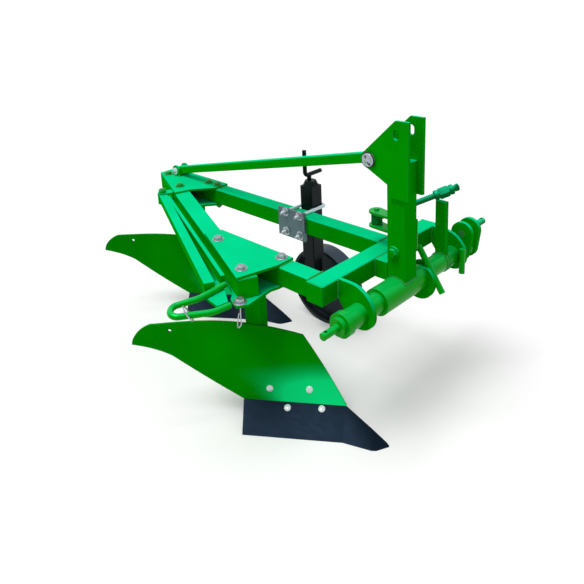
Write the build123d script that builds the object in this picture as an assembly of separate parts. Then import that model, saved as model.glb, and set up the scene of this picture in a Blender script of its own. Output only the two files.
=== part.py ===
from build123d import *
import math
import os

os.makedirs("parts", exist_ok=True)

# Two-furrow mounted mouldboard plough, in millimetres.
# +X is the way it travels, +Y is the driver's left, and Z is zero on the ground.
# The front face of the crossbeam is at X = 0 and the mast stands beside Y = 0.

# Frame of square tube
tube_size = 60.0
tube_wall = 5.0
tube_corner = 5.0
frame_top = 490.0
frame_bottom = frame_top - tube_size
crossbeam_right = -270.0
left_beam_right_face = 58.0
left_beam_rear = -1208.0
right_beam_right_face = -259.0
diagonal_angle = 157.0
diagonal_corner_x = -206.0
diagonal_corner_y = -387.8
end_cap_thickness = 4.0
gusset_thickness = 8.0

# Cross shaft and the hitch it carries, category 1 at the pins
shaft_x = tube_size + 13.0
shaft_z = 412.0
shaft_radius = 30.0
shaft_bore_radius = 23.0
bearing_clearance = 0.05
sleeve_clearance = 0.3
hitch_pin_radius = 11.0
hitch_pin_length = 57.0
hitch_span = 683.0
right_shoulder_y = -298.0
left_shoulder_y = right_shoulder_y + hitch_span
crank_offset_x = 9.0
crank_offset_z = 60.0
crank_width = 74.0
crank_outer_thickness = 14.0
crank_inner_thickness = 12.0
crank_plate_gap = 34.0
crank_shoulder_length = 21.0
crank_outer_y = left_shoulder_y - crank_shoulder_length - crank_outer_thickness
crank_inner_y = crank_outer_y - crank_plate_gap - crank_inner_thickness
linchpin_hole_radius = 5.0
linchpin_hole_from_end = 13.0
bearing_thickness = 12.0
right_bearing_y = -205.0
crank_bearing_gap = 30.0
left_bearing_y = crank_inner_y - crank_bearing_gap - bearing_thickness
crossbeam_overhang = 21.0
crossbeam_left = left_bearing_y + bearing_thickness + crossbeam_overhang

# Mast
mast_size = 60.0
mast_wall = 5.0
mast_front_x = shaft_x + mast_size / 2
mast_right_y = -40.0
mast_top = 790.0
sleeve_radius = 40.0
sleeve_right_y = -130.0
sleeve_left_y = 67.0
cheek_thickness = 10.0
cheek_top = 911.0
top_link_x = mast_front_x - 21.0
top_link_z = cheek_top - 38.0
top_link_slot_width = 20.0
top_link_slot_height = 30.0
ear_x = -8.0
ear_z = 790.0
ear_radius = 28.0
keeper_radius = 9.5
keeper_flat = 0.6

# Stay from the mast to the rear of the frame
stay_size = 30.0
stay_wall = 3.0
stay_pin_radius = 9.0
stay_rear_x = -1115.0
stay_rear_y = 80.0
stay_rear_z = 518.0
stay_eye_radius = 17.0
stay_fork_gap = 36.0
stay_ear_thickness = 8.0

# Adjusting screw between the mast and the lever of the cross shaft
screw_pin_x = -60.0
screw_pin_y = 50.0
screw_pin_z = 571.0
screw_pin_radius = 8.0
screw_eye_radius = 17.0
screw_eye_height = 35.0
screw_radius = 8.5
screw_nut_radius = 18.0
screw_nut_length = 60.0
screw_tip_length = 42.0
lever_thickness = 16.0
lever_width = 35.0
lever_top = 611.0
lever_bearing_gap = 54.0
lever_y = left_bearing_y - lever_bearing_gap - lever_thickness / 2
screw_nut_x = shaft_x + 5.0
screw_nut_y = lever_y
screw_nut_z = lever_top + 29.0

# Depth wheel on its screwed leg
wheel_leg_x = -422.0
wheel_tube_size = 55.0
wheel_tube_wall = 5.0
wheel_tube_bottom = 300.0
wheel_tube_top = 575.0
wheel_cap_height = 18.0
wheel_leg_clearance = 0.5
wheel_leg_length = 330.0
wheel_leg_foot = 120.0
wheel_radius = 149.0
wheel_width = 62.0
wheel_rim_thickness = 12.0
wheel_centre_x = -440.0
wheel_right_y = 200.0
wheel_axle_radius = 14.0
wheel_hub_radius = 26.0
wheel_disc_thickness = 6.0
u_bolt_radius = 6.0
clamp_plate_thickness = 10.0
clamp_plate_low = 405.0
clamp_plate_high = 508.0
clamp_plate_length = 126.0
crank_handle_radius = 7.5

# Plough bodies: distances run along the cutting edge from the share's tip,
# and set back from that edge at right angles to it.
front_tip_x = 141.2
front_tip_y = -168.0
body_step_x = -672.0
body_step_y = 292.0
edge_angle = 35.0
board_setback_thickness = 8.0
seam_height = 53.0
seam_setback = 92.0
seam_start = 127.0
seam_end = 441.0
share_wing = 427.0
share_floor_width = 24.0
landside_y = -164.0
landside_thickness = 12.0
landside_height = 80.0
landside_rear_x = -345.0
shank_length = 70.0
shank_thickness = 30.0
shank_centre_x = -309.0
shank_centre_y = -243.0

# Towing arm folded along the right of the frame
arm_pivot_along = 845.0
arm_pivot_out = 41.0
arm_pivot_radius = 8.0
arm_eye_radius = 19.0
arm_low = 455.0
arm_height = 30.0
arm_main_width = 30.0
arm_brace_width = 12.0
arm_lug_thickness = 8.0
arm_lug_gap = 1.0
loop_radius = 9.0


def block(low, high):
    """Box between two opposite corners."""
    size = [high[i] - low[i] for i in range(3)]
    middle = [(high[i] + low[i]) / 2 for i in range(3)]
    return Pos(*middle) * Box(*size)


def flat_plate(outline, low, high):
    """Level plate with straight edges, from a list of X, Y corners."""
    corners = [(x, y, low) for x, y in outline]
    return extrude(make_face(Polyline(*corners, close=True)), amount=high - low, dir=(0, 0, 1))


def side_plate(outline, right, left):
    """Upright plate that faces sideways, from a list of X, Z corners."""
    corners = [(x, right, z) for x, z in outline]
    return extrude(make_face(Polyline(*corners, close=True)), amount=left - right, dir=(0, 1, 0))


def round_bar(start, end, radius):
    """Straight round bar between two points."""
    run = Vector(*end) - Vector(*start)
    return Solid.make_cylinder(radius, run.length, Plane(origin=start, z_dir=run))


def cross_bar(x, z, right, left, radius):
    """Round bar along Y."""
    return round_bar((x, right, z), (x, left, z), radius)


def square_tube(start, end, size, wall, corner, up=(0, 0, 1)):
    """Hollow square tube between two points on its centre line."""
    run = Vector(*end) - Vector(*start)
    section = RectangleRounded(size, size, corner) - Rectangle(size - 2 * wall, size - 2 * wall)
    plane = Plane(origin=start, x_dir=up, z_dir=run)
    return extrude(plane * section, amount=run.length, dir=run.normalized())


def upright_tube(x, y, low, high, size, wall, corner):
    """Hollow square tube that stands upright."""
    section = RectangleRounded(size, size, corner) - Rectangle(size - 2 * wall, size - 2 * wall)
    return Pos(x, y, low) * extrude(section, amount=high - low, dir=(0, 0, 1))


nodes = {}

# Directions of the diagonal beam
along_x = math.cos(math.radians(diagonal_angle))
along_y = math.sin(math.radians(diagonal_angle))
out_x = -along_y
out_y = along_x


def beside_diagonal(along, out):
    """Plan position: along the diagonal from its front right corner, and out to its right."""
    return (
        diagonal_corner_x + along * along_x + out * out_x,
        diagonal_corner_y + along * along_y + out * out_y,
    )


def turned_block(along_low, along_high, out_low, out_high, low, high):
    """Box squared up to the diagonal beam."""
    corners = [
        beside_diagonal(along_low, out_low),
        beside_diagonal(along_high, out_low),
        beside_diagonal(along_high, out_high),
        beside_diagonal(along_low, out_high),
    ]
    return flat_plate(corners, low, high)


# Beams
frame_middle = frame_top - tube_size / 2
left_beam_y = left_beam_right_face + tube_size / 2
right_beam_y = right_beam_right_face + tube_size / 2
nodes["front_crossbeam"] = square_tube(
    (-tube_size / 2, crossbeam_right + end_cap_thickness, frame_middle),
    (-tube_size / 2, crossbeam_left - end_cap_thickness, frame_middle),
    tube_size,
    tube_wall,
    tube_corner,
)
nodes["left_beam"] = square_tube(
    (-tube_size, left_beam_y, frame_middle),
    (left_beam_rear + end_cap_thickness, left_beam_y, frame_middle),
    tube_size,
    tube_wall,
    tube_corner,
)
diagonal_start = beside_diagonal(end_cap_thickness, -tube_size / 2)
diagonal_end = beside_diagonal(1200, -tube_size / 2)
diagonal_beam = square_tube(
    (*diagonal_start, frame_middle),
    (*diagonal_end, frame_middle),
    tube_size,
    tube_wall,
    tube_corner,
)
behind_frame = block((-2200, -900, 300), (left_beam_rear, 900, 600))
past_left_beam = block((-2200, left_beam_right_face, 300), (200, 900, 600))
nodes["diagonal_beam"] = diagonal_beam - behind_frame - past_left_beam
right_beam = square_tube(
    (-tube_size, right_beam_y, frame_middle),
    (-560, right_beam_y, frame_middle),
    tube_size,
    tube_wall,
    tube_corner,
)
nodes["right_beam"] = right_beam - turned_block(-200, 900, -tube_size, 400, 300, 600)

cap_inset = 1.0
cap_sections = {
    "right": block(
        (-tube_size + cap_inset, crossbeam_right, frame_bottom + cap_inset),
        (-cap_inset, crossbeam_right + end_cap_thickness, frame_top - cap_inset),
    ),
    "left": block(
        (-tube_size + cap_inset, crossbeam_left - end_cap_thickness, frame_bottom + cap_inset),
        (-cap_inset, crossbeam_left, frame_top - cap_inset),
    ),
    "rear": block(
        (left_beam_rear, left_beam_right_face + cap_inset, frame_bottom + cap_inset),
        (
            left_beam_rear + end_cap_thickness,
            left_beam_right_face + tube_size - cap_inset,
            frame_top - cap_inset,
        ),
    ),
    "diagonal": turned_block(
        0,
        end_cap_thickness,
        -tube_size + cap_inset,
        -cap_inset,
        frame_bottom + cap_inset,
        frame_top - cap_inset,
    ),
}
nodes["beam_end_caps"] = Compound(list(cap_sections.values()))

# Gusset plates above and below the two corners where the diagonal beam lands
front_gusset_outline = [
    (-506, -197),
    (-176, -199),
    (-176, -263),
    (-208, -390),
    beside_diagonal(351, 0),
]
lock_ear_outline = [
    (-182, -290),
    (-168, -385),
    (-188, -414),
    (-226, -402),
    beside_diagonal(60, 0),
]
rear_gusset_outline = [
    (-1208, 38),
    (-940, -77),
    (-922, -19),
    (-855, 58),
    (-855, 118),
    (-1208, 118),
]
gusset_levels = {
    "top": (frame_top, frame_top + gusset_thickness),
    "bottom": (frame_bottom - gusset_thickness, frame_bottom),
}
front_gusset_top = flat_plate(front_gusset_outline, *gusset_levels["top"])
front_gusset_bottom = flat_plate(front_gusset_outline, *gusset_levels["bottom"])
front_gusset_bottom += flat_plate(lock_ear_outline, *gusset_levels["bottom"])
nodes["front_gussets"] = Compound([front_gusset_top, front_gusset_bottom])
rear_gusset_top = flat_plate(rear_gusset_outline, *gusset_levels["top"])
rear_gusset_bottom = flat_plate(rear_gusset_outline, *gusset_levels["bottom"])
nodes["rear_gussets"] = Compound([rear_gusset_top, rear_gusset_bottom])


# Bearing plates on the front of the crossbeam
def bearing_plate(right):
    """D-shaped plate with a flat top, bored for the cross shaft."""
    top_corner = (shaft_x - 33, frame_top)
    nose = (shaft_x + 49, shaft_z)
    low_corner = (shaft_x - 35, shaft_z - 36)
    outline = Curve() + [
        Line((0, frame_top), top_corner),
        ThreePointArc(top_corner, (shaft_x + 24, shaft_z + 56), nose),
        ThreePointArc(nose, (shaft_x + 15, shaft_z - 46), low_corner),
        Line(low_corner, (0, frame_bottom)),
        Line((0, frame_bottom), (0, frame_top)),
    ]
    face = make_face(outline)
    plate = extrude(Plane.XZ * face, amount=bearing_thickness, dir=(0, 1, 0))
    bore = cross_bar(shaft_x, shaft_z, -20, bearing_thickness + 20, shaft_radius + bearing_clearance)
    return Pos(0, right, 0) * (plate - bore)


nodes["bearing_plates"] = Compound(
    [bearing_plate(right_bearing_y), bearing_plate(left_bearing_y)]
)

# Cross shaft with its lever, its crank and the two hitch pins
right_boss_inner = -264.0
right_boss_step = -286.0
left_tube_end = crank_outer_y
shaft_solid = cross_bar(shaft_x, shaft_z, right_boss_inner, left_tube_end, shaft_radius)
shaft_hollow = cross_bar(shaft_x, shaft_z, right_boss_inner, left_tube_end, shaft_bore_radius)
nodes["cross_shaft_tube"] = shaft_solid - shaft_hollow

right_pin_end = right_shoulder_y - hitch_pin_length
right_pin = cross_bar(shaft_x, shaft_z, right_pin_end, right_shoulder_y, hitch_pin_radius)
right_pin = chamfer(right_pin.edges().filter_by(GeomType.CIRCLE).sort_by(Axis.Y)[0], 2)
right_boss = cross_bar(shaft_x, shaft_z, right_boss_step, right_boss_inner, 35)
right_boss += cross_bar(shaft_x, shaft_z, right_shoulder_y, right_boss_step, 25)
right_hole_y = right_pin_end + linchpin_hole_from_end
right_hole = round_bar(
    (shaft_x, right_hole_y, shaft_z - 40), (shaft_x, right_hole_y, shaft_z + 40), linchpin_hole_radius
)
nodes["right_lower_pin"] = right_boss + right_pin - right_hole

crank_x = shaft_x + crank_offset_x
crank_z = shaft_z + crank_offset_z
crank_angle = math.degrees(math.atan2(crank_offset_z, crank_offset_x))
crank_reach = math.hypot(crank_offset_x, crank_offset_z)


def crank_plate(right, thickness, shaft_hole):
    """Round-ended plate from the shaft up to the left hitch pin."""
    slot = SlotCenterToCenter(crank_reach, crank_width)
    middle = Pos((shaft_x + crank_x) / 2, (shaft_z + crank_z) / 2) * Rot(0, 0, crank_angle)
    plate = extrude(Plane.XZ * (middle * slot), amount=thickness, dir=(0, 1, 0))
    plate -= cross_bar(crank_x, crank_z, -1, thickness + 1, hitch_pin_radius)
    if shaft_hole:
        plate -= cross_bar(shaft_x, shaft_z, -1, thickness + 1, shaft_radius)
    return Pos(0, right, 0) * plate


inner_crank = crank_plate(crank_inner_y, crank_inner_thickness, True)
outer_crank = crank_plate(crank_outer_y, crank_outer_thickness, False)
nodes["left_crank_plates"] = Compound([inner_crank, outer_crank])

left_pin_end = left_shoulder_y + hitch_pin_length
left_pin = cross_bar(crank_x, crank_z, crank_inner_y, left_pin_end, hitch_pin_radius)
left_pin = chamfer(left_pin.edges().filter_by(GeomType.CIRCLE).sort_by(Axis.Y)[-1], 2)
left_pin += cross_bar(crank_x, crank_z, crank_outer_y + crank_outer_thickness, left_shoulder_y, 19)
left_hole_y = left_pin_end - linchpin_hole_from_end
left_hole = round_bar(
    (crank_x, left_hole_y, crank_z - 40), (crank_x, left_hole_y, crank_z + 40), linchpin_hole_radius
)
nodes["left_lower_pin"] = left_pin - left_hole

lever = block(
    (shaft_x - lever_width / 2, lever_y - lever_thickness / 2, shaft_z),
    (shaft_x + lever_width / 2, lever_y + lever_thickness / 2, lever_top),
)
nodes["lever_arm"] = lever - cross_bar(shaft_x, shaft_z, lever_y - 30, lever_y + 30, shaft_radius)

# Mast on its sleeve
sleeve = cross_bar(shaft_x, shaft_z, sleeve_right_y, sleeve_left_y, sleeve_radius)
sleeve_hole = cross_bar(
    shaft_x, shaft_z, sleeve_right_y - 5, sleeve_left_y + 5, shaft_radius + sleeve_clearance
)
nodes["mast_sleeve"] = sleeve - sleeve_hole
mast_middle_x = mast_front_x - mast_size / 2
mast_middle_y = mast_right_y + mast_size / 2
mast_left_y = mast_right_y + mast_size
mast_rear_x = mast_front_x - mast_size
mast_cap_thickness = 4.0
mast_tube = upright_tube(
    mast_middle_x,
    mast_middle_y,
    shaft_z + 8,
    mast_top - mast_cap_thickness,
    mast_size,
    mast_wall,
    4,
)
mast_tube += block(
    (mast_rear_x, mast_right_y, mast_top - mast_cap_thickness),
    (mast_front_x, mast_left_y, mast_top),
)
nodes["mast_tube"] = mast_tube - sleeve
spacer = block((0, mast_right_y, frame_bottom + 2), (mast_rear_x, mast_left_y, frame_top - 2))
nodes["mast_bracket"] = spacer - sleeve


def mast_cheek(right):
    """Side plate of the mast with the top-link slot and the ear for the stay."""
    ear = Pos(ear_x, ear_z) * Circle(ear_radius)
    peak_x = mast_rear_x + 36
    step_x = mast_rear_x + 14
    step_z = mast_top - 64
    foot_z = mast_top - 98
    slope = math.atan2(cheek_top - ear_z, peak_x - ear_x)
    upper = (ear_x - ear_radius * math.sin(slope), ear_z + ear_radius * math.cos(slope))
    drop = math.atan2(ear_z - step_z, step_x - ear_x)
    lower = (ear_x - ear_radius * math.sin(drop), ear_z - ear_radius * math.cos(drop))
    front_top = (mast_front_x + 19, cheek_top)
    front_foot = (mast_front_x + 17, foot_z)
    corners = [upper, (peak_x, cheek_top), front_top, front_foot, (step_x, foot_z), (step_x, step_z), lower]
    web = make_face(Polyline(*corners, close=True))
    slot = SlotCenterToCenter(top_link_slot_height - top_link_slot_width, top_link_slot_width)
    slot = Pos(top_link_x, top_link_z) * Rot(0, 0, 90) * slot
    pin_hole = Pos(ear_x, ear_z) * Circle(stay_pin_radius)
    face = ear + web - slot - pin_hole
    return Pos(0, right, 0) * extrude(Plane.XZ * face, amount=cheek_thickness, dir=(0, 1, 0))


nodes["mast_cheeks"] = Compound(
    [mast_cheek(mast_right_y - cheek_thickness), mast_cheek(mast_left_y)]
)

# Flanges and keeper bars that hold the shaft endways
flange_radius = 57.0
flange_flat = 46.0
flange_centre = Pos(shaft_x + 2, shaft_z - 12)
flange_face = flange_centre * (Circle(flange_radius) - Pos(0, flange_flat + 50) * Rectangle(160, 100))
flange_hole = Pos(shaft_x, shaft_z) * Circle(shaft_radius + sleeve_clearance)
near_flange = extrude(Plane.XZ * (flange_face - flange_hole), amount=10, dir=(0, 1, 0))
near_flange = Pos(0, sleeve_left_y, 0) * near_flange
far_face = Pos(shaft_x, shaft_z - 4) * Circle(46)
far_flange = extrude(Plane.XZ * (far_face - flange_hole), amount=8, dir=(0, 1, 0))
near_keeper_y = sleeve_left_y + 10 + keeper_radius - keeper_flat
far_flange = Pos(0, near_keeper_y + keeper_radius - keeper_flat, 0) * far_flange
nodes["shaft_flanges"] = Compound([near_flange, far_flange])
keeper_table = {
    "mast": {
        "y": near_keeper_y,
        "low": (shaft_x + 75, shaft_z - 37),
        "high": (shaft_x - 8, shaft_z + 91),
    },
    "left_bearing": {
        "y": left_bearing_y - keeper_radius + keeper_flat,
        "low": (shaft_x + 42, shaft_z - 48),
        "high": (shaft_x + 42, shaft_z + 34),
    },
}
keepers = []
for row in keeper_table.values():
    low_end = (row["low"][0], row["y"], row["low"][1])
    high_end = (row["high"][0], row["y"], row["high"][1])
    keeper = round_bar(low_end, high_end, keeper_radius)
    keeper = keeper - nodes["shaft_flanges"] - nodes["bearing_plates"]
    keepers.append(keeper.solids().sort_by(SortBy.VOLUME)[-1])
nodes["keeper_bars"] = Compound(keepers)

# Bolt that holds the screw's bracket to the mast
mast_bolt_x = mast_middle_x - 6.0
mast_bolt_z = frame_top + 38.0
bracket_plate = 8.0
mast_bolt = cross_bar(mast_bolt_x, mast_bolt_z, mast_right_y - 10, mast_left_y + bracket_plate + 12, 8)
mast_washer = cross_bar(mast_bolt_x, mast_bolt_z, mast_right_y - 5, mast_right_y, 18)
mast_head = Pos(mast_bolt_x, mast_right_y - 5, mast_bolt_z) * extrude(
    Plane.XZ * RegularPolygon(13, 6), amount=9, dir=(0, -1, 0)
)
nodes["mast_bolt"] = mast_bolt + mast_washer + mast_head
nodes["mast_tube"] -= cross_bar(mast_bolt_x, mast_bolt_z, mast_right_y - 1, mast_left_y + 1, 8)

prong_thickness = 8.0
prong_gap = screw_eye_height + 1.0
prong_low = screw_pin_z - prong_gap / 2
prong_high = screw_pin_z + prong_gap / 2
prong_radius = 24.0
side_of_bracket = side_plate(
    [
        (screw_pin_x - prong_radius, prong_low - prong_thickness),
        (mast_rear_x + 3, prong_low - prong_thickness),
        (mast_rear_x + 3, frame_top + 16),
        (mast_front_x - 5, frame_top + 16),
        (mast_front_x - 5, prong_high + prong_thickness),
        (screw_pin_x - prong_radius, prong_high + prong_thickness),
    ],
    mast_left_y,
    mast_left_y + bracket_plate,
)
prong_face = Pos(screw_pin_x, screw_pin_y) * Circle(prong_radius)
prong_face += Pos(screw_pin_x, (mast_left_y + bracket_plate + screw_pin_y) / 2) * Rectangle(
    2 * prong_radius, screw_pin_y - mast_left_y - bracket_plate
)
bracket = side_of_bracket
for level in (prong_low - prong_thickness, prong_high):
    bracket += Pos(0, 0, level) * extrude(prong_face, amount=prong_thickness, dir=(0, 0, 1))
bracket += round_bar(
    (screw_pin_x, screw_pin_y, prong_low - prong_thickness - 6),
    (screw_pin_x, screw_pin_y, prong_high + prong_thickness + 6),
    screw_pin_radius,
)
bracket -= cross_bar(mast_bolt_x, mast_bolt_z, mast_left_y - 1, mast_left_y + 20, 8)
nodes["screw_bracket"] = bracket

# Adjusting screw: an eye on the bracket's pin, the rod, and the nut above the lever
screw_run = Vector(screw_nut_x - screw_pin_x, screw_nut_y - screw_pin_y, screw_nut_z - screw_pin_z)
screw_way = screw_run.normalized()
screw_tip = Vector(screw_nut_x, screw_nut_y, screw_nut_z) + screw_way * (
    screw_nut_length / 2 + screw_tip_length
)
nut_start = Vector(screw_nut_x, screw_nut_y, screw_nut_z) - screw_way * (screw_nut_length / 2)
nut_end = Vector(screw_nut_x, screw_nut_y, screw_nut_z) + screw_way * (screw_nut_length / 2)
screw = round_bar((screw_pin_x, screw_pin_y, screw_pin_z), tuple(screw_tip), screw_radius)
screw += round_bar(tuple(nut_start), tuple(nut_end), screw_nut_radius)
screw_eye_low = screw_pin_z - screw_eye_height / 2
screw_eye_high = screw_pin_z + screw_eye_height / 2
screw += round_bar(
    (screw_pin_x, screw_pin_y, screw_eye_low),
    (screw_pin_x, screw_pin_y, screw_eye_high),
    screw_eye_radius,
)
screw -= round_bar(
    (screw_pin_x, screw_pin_y, screw_eye_low - 5),
    (screw_pin_x, screw_pin_y, screw_eye_high + 5),
    screw_pin_radius + bearing_clearance,
)
nodes["adjusting_screw"] = screw

# Stay from the mast's ear to the rear gusset
stay_front = (ear_x, mast_middle_y, ear_z)
stay_rear = (stay_rear_x, stay_rear_y, stay_rear_z)
stay = square_tube(stay_front, stay_rear, stay_size, stay_wall, 3)
stay += cross_bar(ear_x, ear_z, mast_right_y, mast_left_y, 18)
stay += cross_bar(
    stay_rear_x,
    stay_rear_z,
    stay_rear_y - stay_fork_gap / 2,
    stay_rear_y + stay_fork_gap / 2,
    stay_eye_radius,
)
stay -= cross_bar(ear_x, ear_z, mast_right_y - 5, mast_left_y + 5, stay_pin_radius)
stay -= cross_bar(stay_rear_x, stay_rear_z, stay_rear_y - 40, stay_rear_y + 40, stay_pin_radius)
nodes["top_stay"] = stay
front_pin = cross_bar(
    ear_x, ear_z, mast_right_y - cheek_thickness, mast_left_y + cheek_thickness + 8, stay_pin_radius
)
front_pin += cross_bar(ear_x, ear_z, mast_right_y - cheek_thickness - 6, mast_right_y - cheek_thickness, 19)
nodes["stay_front_pin"] = front_pin

stay_ears = []
fork_right = stay_rear_y - stay_fork_gap / 2
fork_left = stay_rear_y + stay_fork_gap / 2
gusset_top = frame_top + gusset_thickness
for ear_low_y in (fork_right - stay_ear_thickness, fork_left):
    ear = block(
        (stay_rear_x - 24, ear_low_y, gusset_top),
        (stay_rear_x + 24, ear_low_y + stay_ear_thickness, stay_rear_z),
    )
    ear += cross_bar(stay_rear_x, stay_rear_z, ear_low_y, ear_low_y + stay_ear_thickness, 24)
    ear -= cross_bar(
        stay_rear_x, stay_rear_z, ear_low_y - 1, ear_low_y + stay_ear_thickness + 1, stay_pin_radius
    )
    ear -= block(
        (stay_rear_x - 60, ear_low_y - 5, gusset_top - 60),
        (stay_rear_x + 60, ear_low_y + 20, gusset_top),
    )
    stay_ears.append(ear)
nodes["rear_stay_ears"] = Compound(stay_ears)
rear_pin = cross_bar(stay_rear_x, stay_rear_z, fork_right - 16, fork_left + 18, stay_pin_radius)
rear_pin += cross_bar(stay_rear_x, stay_rear_z, fork_right - 14, fork_right - stay_ear_thickness, 15)
nodes["rear_stay_pin"] = rear_pin

# Depth wheel bracket, tube and cap
beam_left_face = left_beam_right_face + tube_size
wheel_leg_y = beam_left_face + wheel_tube_size / 2
nodes["wheel_clamp_plate"] = block(
    (
        wheel_leg_x - clamp_plate_length / 2 - 8,
        left_beam_right_face - clamp_plate_thickness,
        clamp_plate_low,
    ),
    (wheel_leg_x + clamp_plate_length / 2 - 8, left_beam_right_face, clamp_plate_high),
)
nodes["wheel_outer_tube"] = upright_tube(
    wheel_leg_x,
    wheel_leg_y,
    wheel_tube_bottom,
    wheel_tube_top,
    wheel_tube_size,
    wheel_tube_wall,
    4,
)
cap_face = RegularPolygon(wheel_tube_size / 2 * 1.082, 8)
cap_face = Rot(0, 0, 22.5) * cap_face
wheel_cap = Pos(wheel_leg_x, wheel_leg_y, wheel_tube_top) * extrude(
    cap_face, amount=wheel_cap_height, dir=(0, 0, 1), taper=25
)
nodes["wheel_tube_cap"] = wheel_cap
u_bolt_reach = wheel_tube_size / 2 + u_bolt_radius
u_bolt_far = beam_left_face + wheel_tube_size + u_bolt_radius
u_bolt_near = left_beam_right_face - clamp_plate_thickness - 18
u_bolts = []
for level in (frame_top + u_bolt_radius, frame_bottom - u_bolt_radius):
    path = FilletPolyline(
        (wheel_leg_x - u_bolt_reach, u_bolt_near, level),
        (wheel_leg_x - u_bolt_reach, u_bolt_far, level),
        (wheel_leg_x + u_bolt_reach, u_bolt_far, level),
        (wheel_leg_x + u_bolt_reach, u_bolt_near, level),
        radius=10,
    )
    profile = Plane(origin=path @ 0, z_dir=path % 0) * Circle(u_bolt_radius)
    u_bolt = sweep(profile, path=path)
    u_bolts.append(u_bolt)
    nodes["wheel_clamp_plate"] -= u_bolt
nodes["wheel_u_bolts"] = Compound(u_bolts)
nodes["wheel_outer_tube"] -= Compound(u_bolts)

handle_low = wheel_tube_top + wheel_cap_height
handle_level = handle_low + 20
handle_path = FilletPolyline(
    (wheel_leg_x - 6, wheel_leg_y + 60, handle_level),
    (wheel_leg_x - 6, wheel_leg_y - 20, handle_level),
    (wheel_leg_x - 6, wheel_leg_y - 20, handle_level + 92),
    radius=14,
)
handle_profile = Plane(origin=handle_path @ 0, z_dir=handle_path % 0) * Circle(crank_handle_radius)
handle = sweep(handle_profile, path=handle_path)
handle += round_bar(
    (wheel_leg_x - 6, wheel_leg_y, handle_low), (wheel_leg_x - 6, wheel_leg_y, handle_level), 8
)
nodes["depth_crank"] = handle

# Leg that slides in the tube, with the axle at its foot
leg_size = wheel_tube_size - 2 * wheel_tube_wall - 2 * wheel_leg_clearance
leg = upright_tube(
    wheel_leg_x,
    wheel_leg_y,
    wheel_leg_foot,
    wheel_leg_foot + wheel_leg_length,
    leg_size,
    5,
    2,
)
axle_end_y = wheel_right_y + wheel_width + 10
leg += round_bar(
    (wheel_leg_x, wheel_leg_y, wheel_radius), (wheel_leg_x, wheel_leg_y + 30, wheel_radius), 22
)
leg += block(
    (wheel_centre_x - 22, wheel_leg_y + leg_size / 2, wheel_radius - 22),
    (wheel_leg_x + leg_size / 2, wheel_leg_y + leg_size / 2 + 10, wheel_radius + 22),
)
leg += cross_bar(
    wheel_centre_x,
    wheel_radius,
    wheel_leg_y + leg_size / 2,
    wheel_right_y - 6,
    wheel_axle_radius + 7,
)
leg += cross_bar(wheel_centre_x, wheel_radius, wheel_leg_y + leg_size / 2, axle_end_y, wheel_axle_radius)
leg += cross_bar(
    wheel_centre_x,
    wheel_radius,
    wheel_right_y + wheel_width + 2,
    axle_end_y,
    wheel_axle_radius + 7,
)
nodes["depth_leg"] = leg

# Depth wheel: rim, disc and hub
wheel_left_y = wheel_right_y + wheel_width
rim = cross_bar(wheel_centre_x, wheel_radius, wheel_right_y, wheel_left_y, wheel_radius)
rim_hollow = cross_bar(
    wheel_centre_x,
    wheel_radius,
    wheel_right_y - 5,
    wheel_left_y + 5,
    wheel_radius - wheel_rim_thickness,
)
nodes["wheel_rim"] = rim - rim_hollow
disc_right = (wheel_right_y + wheel_left_y) / 2 - wheel_disc_thickness / 2
disc = cross_bar(
    wheel_centre_x,
    wheel_radius,
    disc_right,
    disc_right + wheel_disc_thickness,
    wheel_radius - wheel_rim_thickness,
)
disc += cross_bar(wheel_centre_x, wheel_radius, wheel_right_y, wheel_left_y, wheel_hub_radius)
disc -= cross_bar(
    wheel_centre_x, wheel_radius, wheel_right_y - 5, wheel_left_y + 5, wheel_axle_radius + bearing_clearance
)
nodes["wheel_disc"] = disc

# Sections of the mouldboard: setback from the cutting edge at three heights
board_heights = (48.0, 190.0, 340.0)
board_sections = [
    {"along": 100.0, "low": 87.5, "middle": 154.5, "high": 212.0},
    {"along": 240.0, "low": 89.0, "middle": 150.7, "high": 212.0},
    {"along": 400.0, "low": 92.0, "middle": 114.5, "high": 183.0},
    {"along": 560.0, "low": 97.0, "middle": 78.3, "high": 108.0},
    {"along": 780.0, "low": 103.0, "middle": 28.6, "high": 4.6},
]


def board_skin(front_offset, back_offset):
    """Twisted sheet through the sections, between two offsets from the face of the board."""
    faces = []
    for row in board_sections:
        x = -row["along"]
        front = [
            (x, row[name] + front_offset, height)
            for name, height in zip(("low", "middle", "high"), board_heights)
        ]
        back = [
            (x, row[name] + back_offset, height)
            for name, height in zip(("low", "middle", "high"), board_heights)
        ]
        edges = [
            ThreePointArc(*front),
            Line(front[2], back[2]),
            ThreePointArc(back[2], back[1], back[0]),
            Line(back[0], front[0]),
        ]
        faces.append(make_face(Curve() + edges))
    return loft(faces)


def edge_view(outline):
    """Solid that stands behind an outline seen square to the cutting edge."""
    return extrude(make_face(outline), amount=600, dir=(0, 1, 0))


def seen(along, height):
    """Point on the outline seen square to the cutting edge."""
    return (-along, -100, height)


board_outline = Curve() + [
    Line(seen(seam_start, seam_height), seen(262, 235)),
    ThreePointArc(seen(262, 235), seen(446, 285), seen(694, 327)),
    ThreePointArc(seen(694, 327), seen(732, 303), seen(746, 269)),
    ThreePointArc(seen(746, 269), seen(698, 249), seen(641, 213)),
    ThreePointArc(seen(641, 213), seen(524, 110), seen(seam_end, seam_height)),
    Line(seen(seam_end, seam_height), seen(seam_start, seam_height)),
]
tail_hole = Pos(-642, 50, 297) * Rot(90, 0, 0) * Cylinder(5, 300)
board = board_skin(0, board_setback_thickness) & edge_view(board_outline)
board = board - tail_hole

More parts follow.
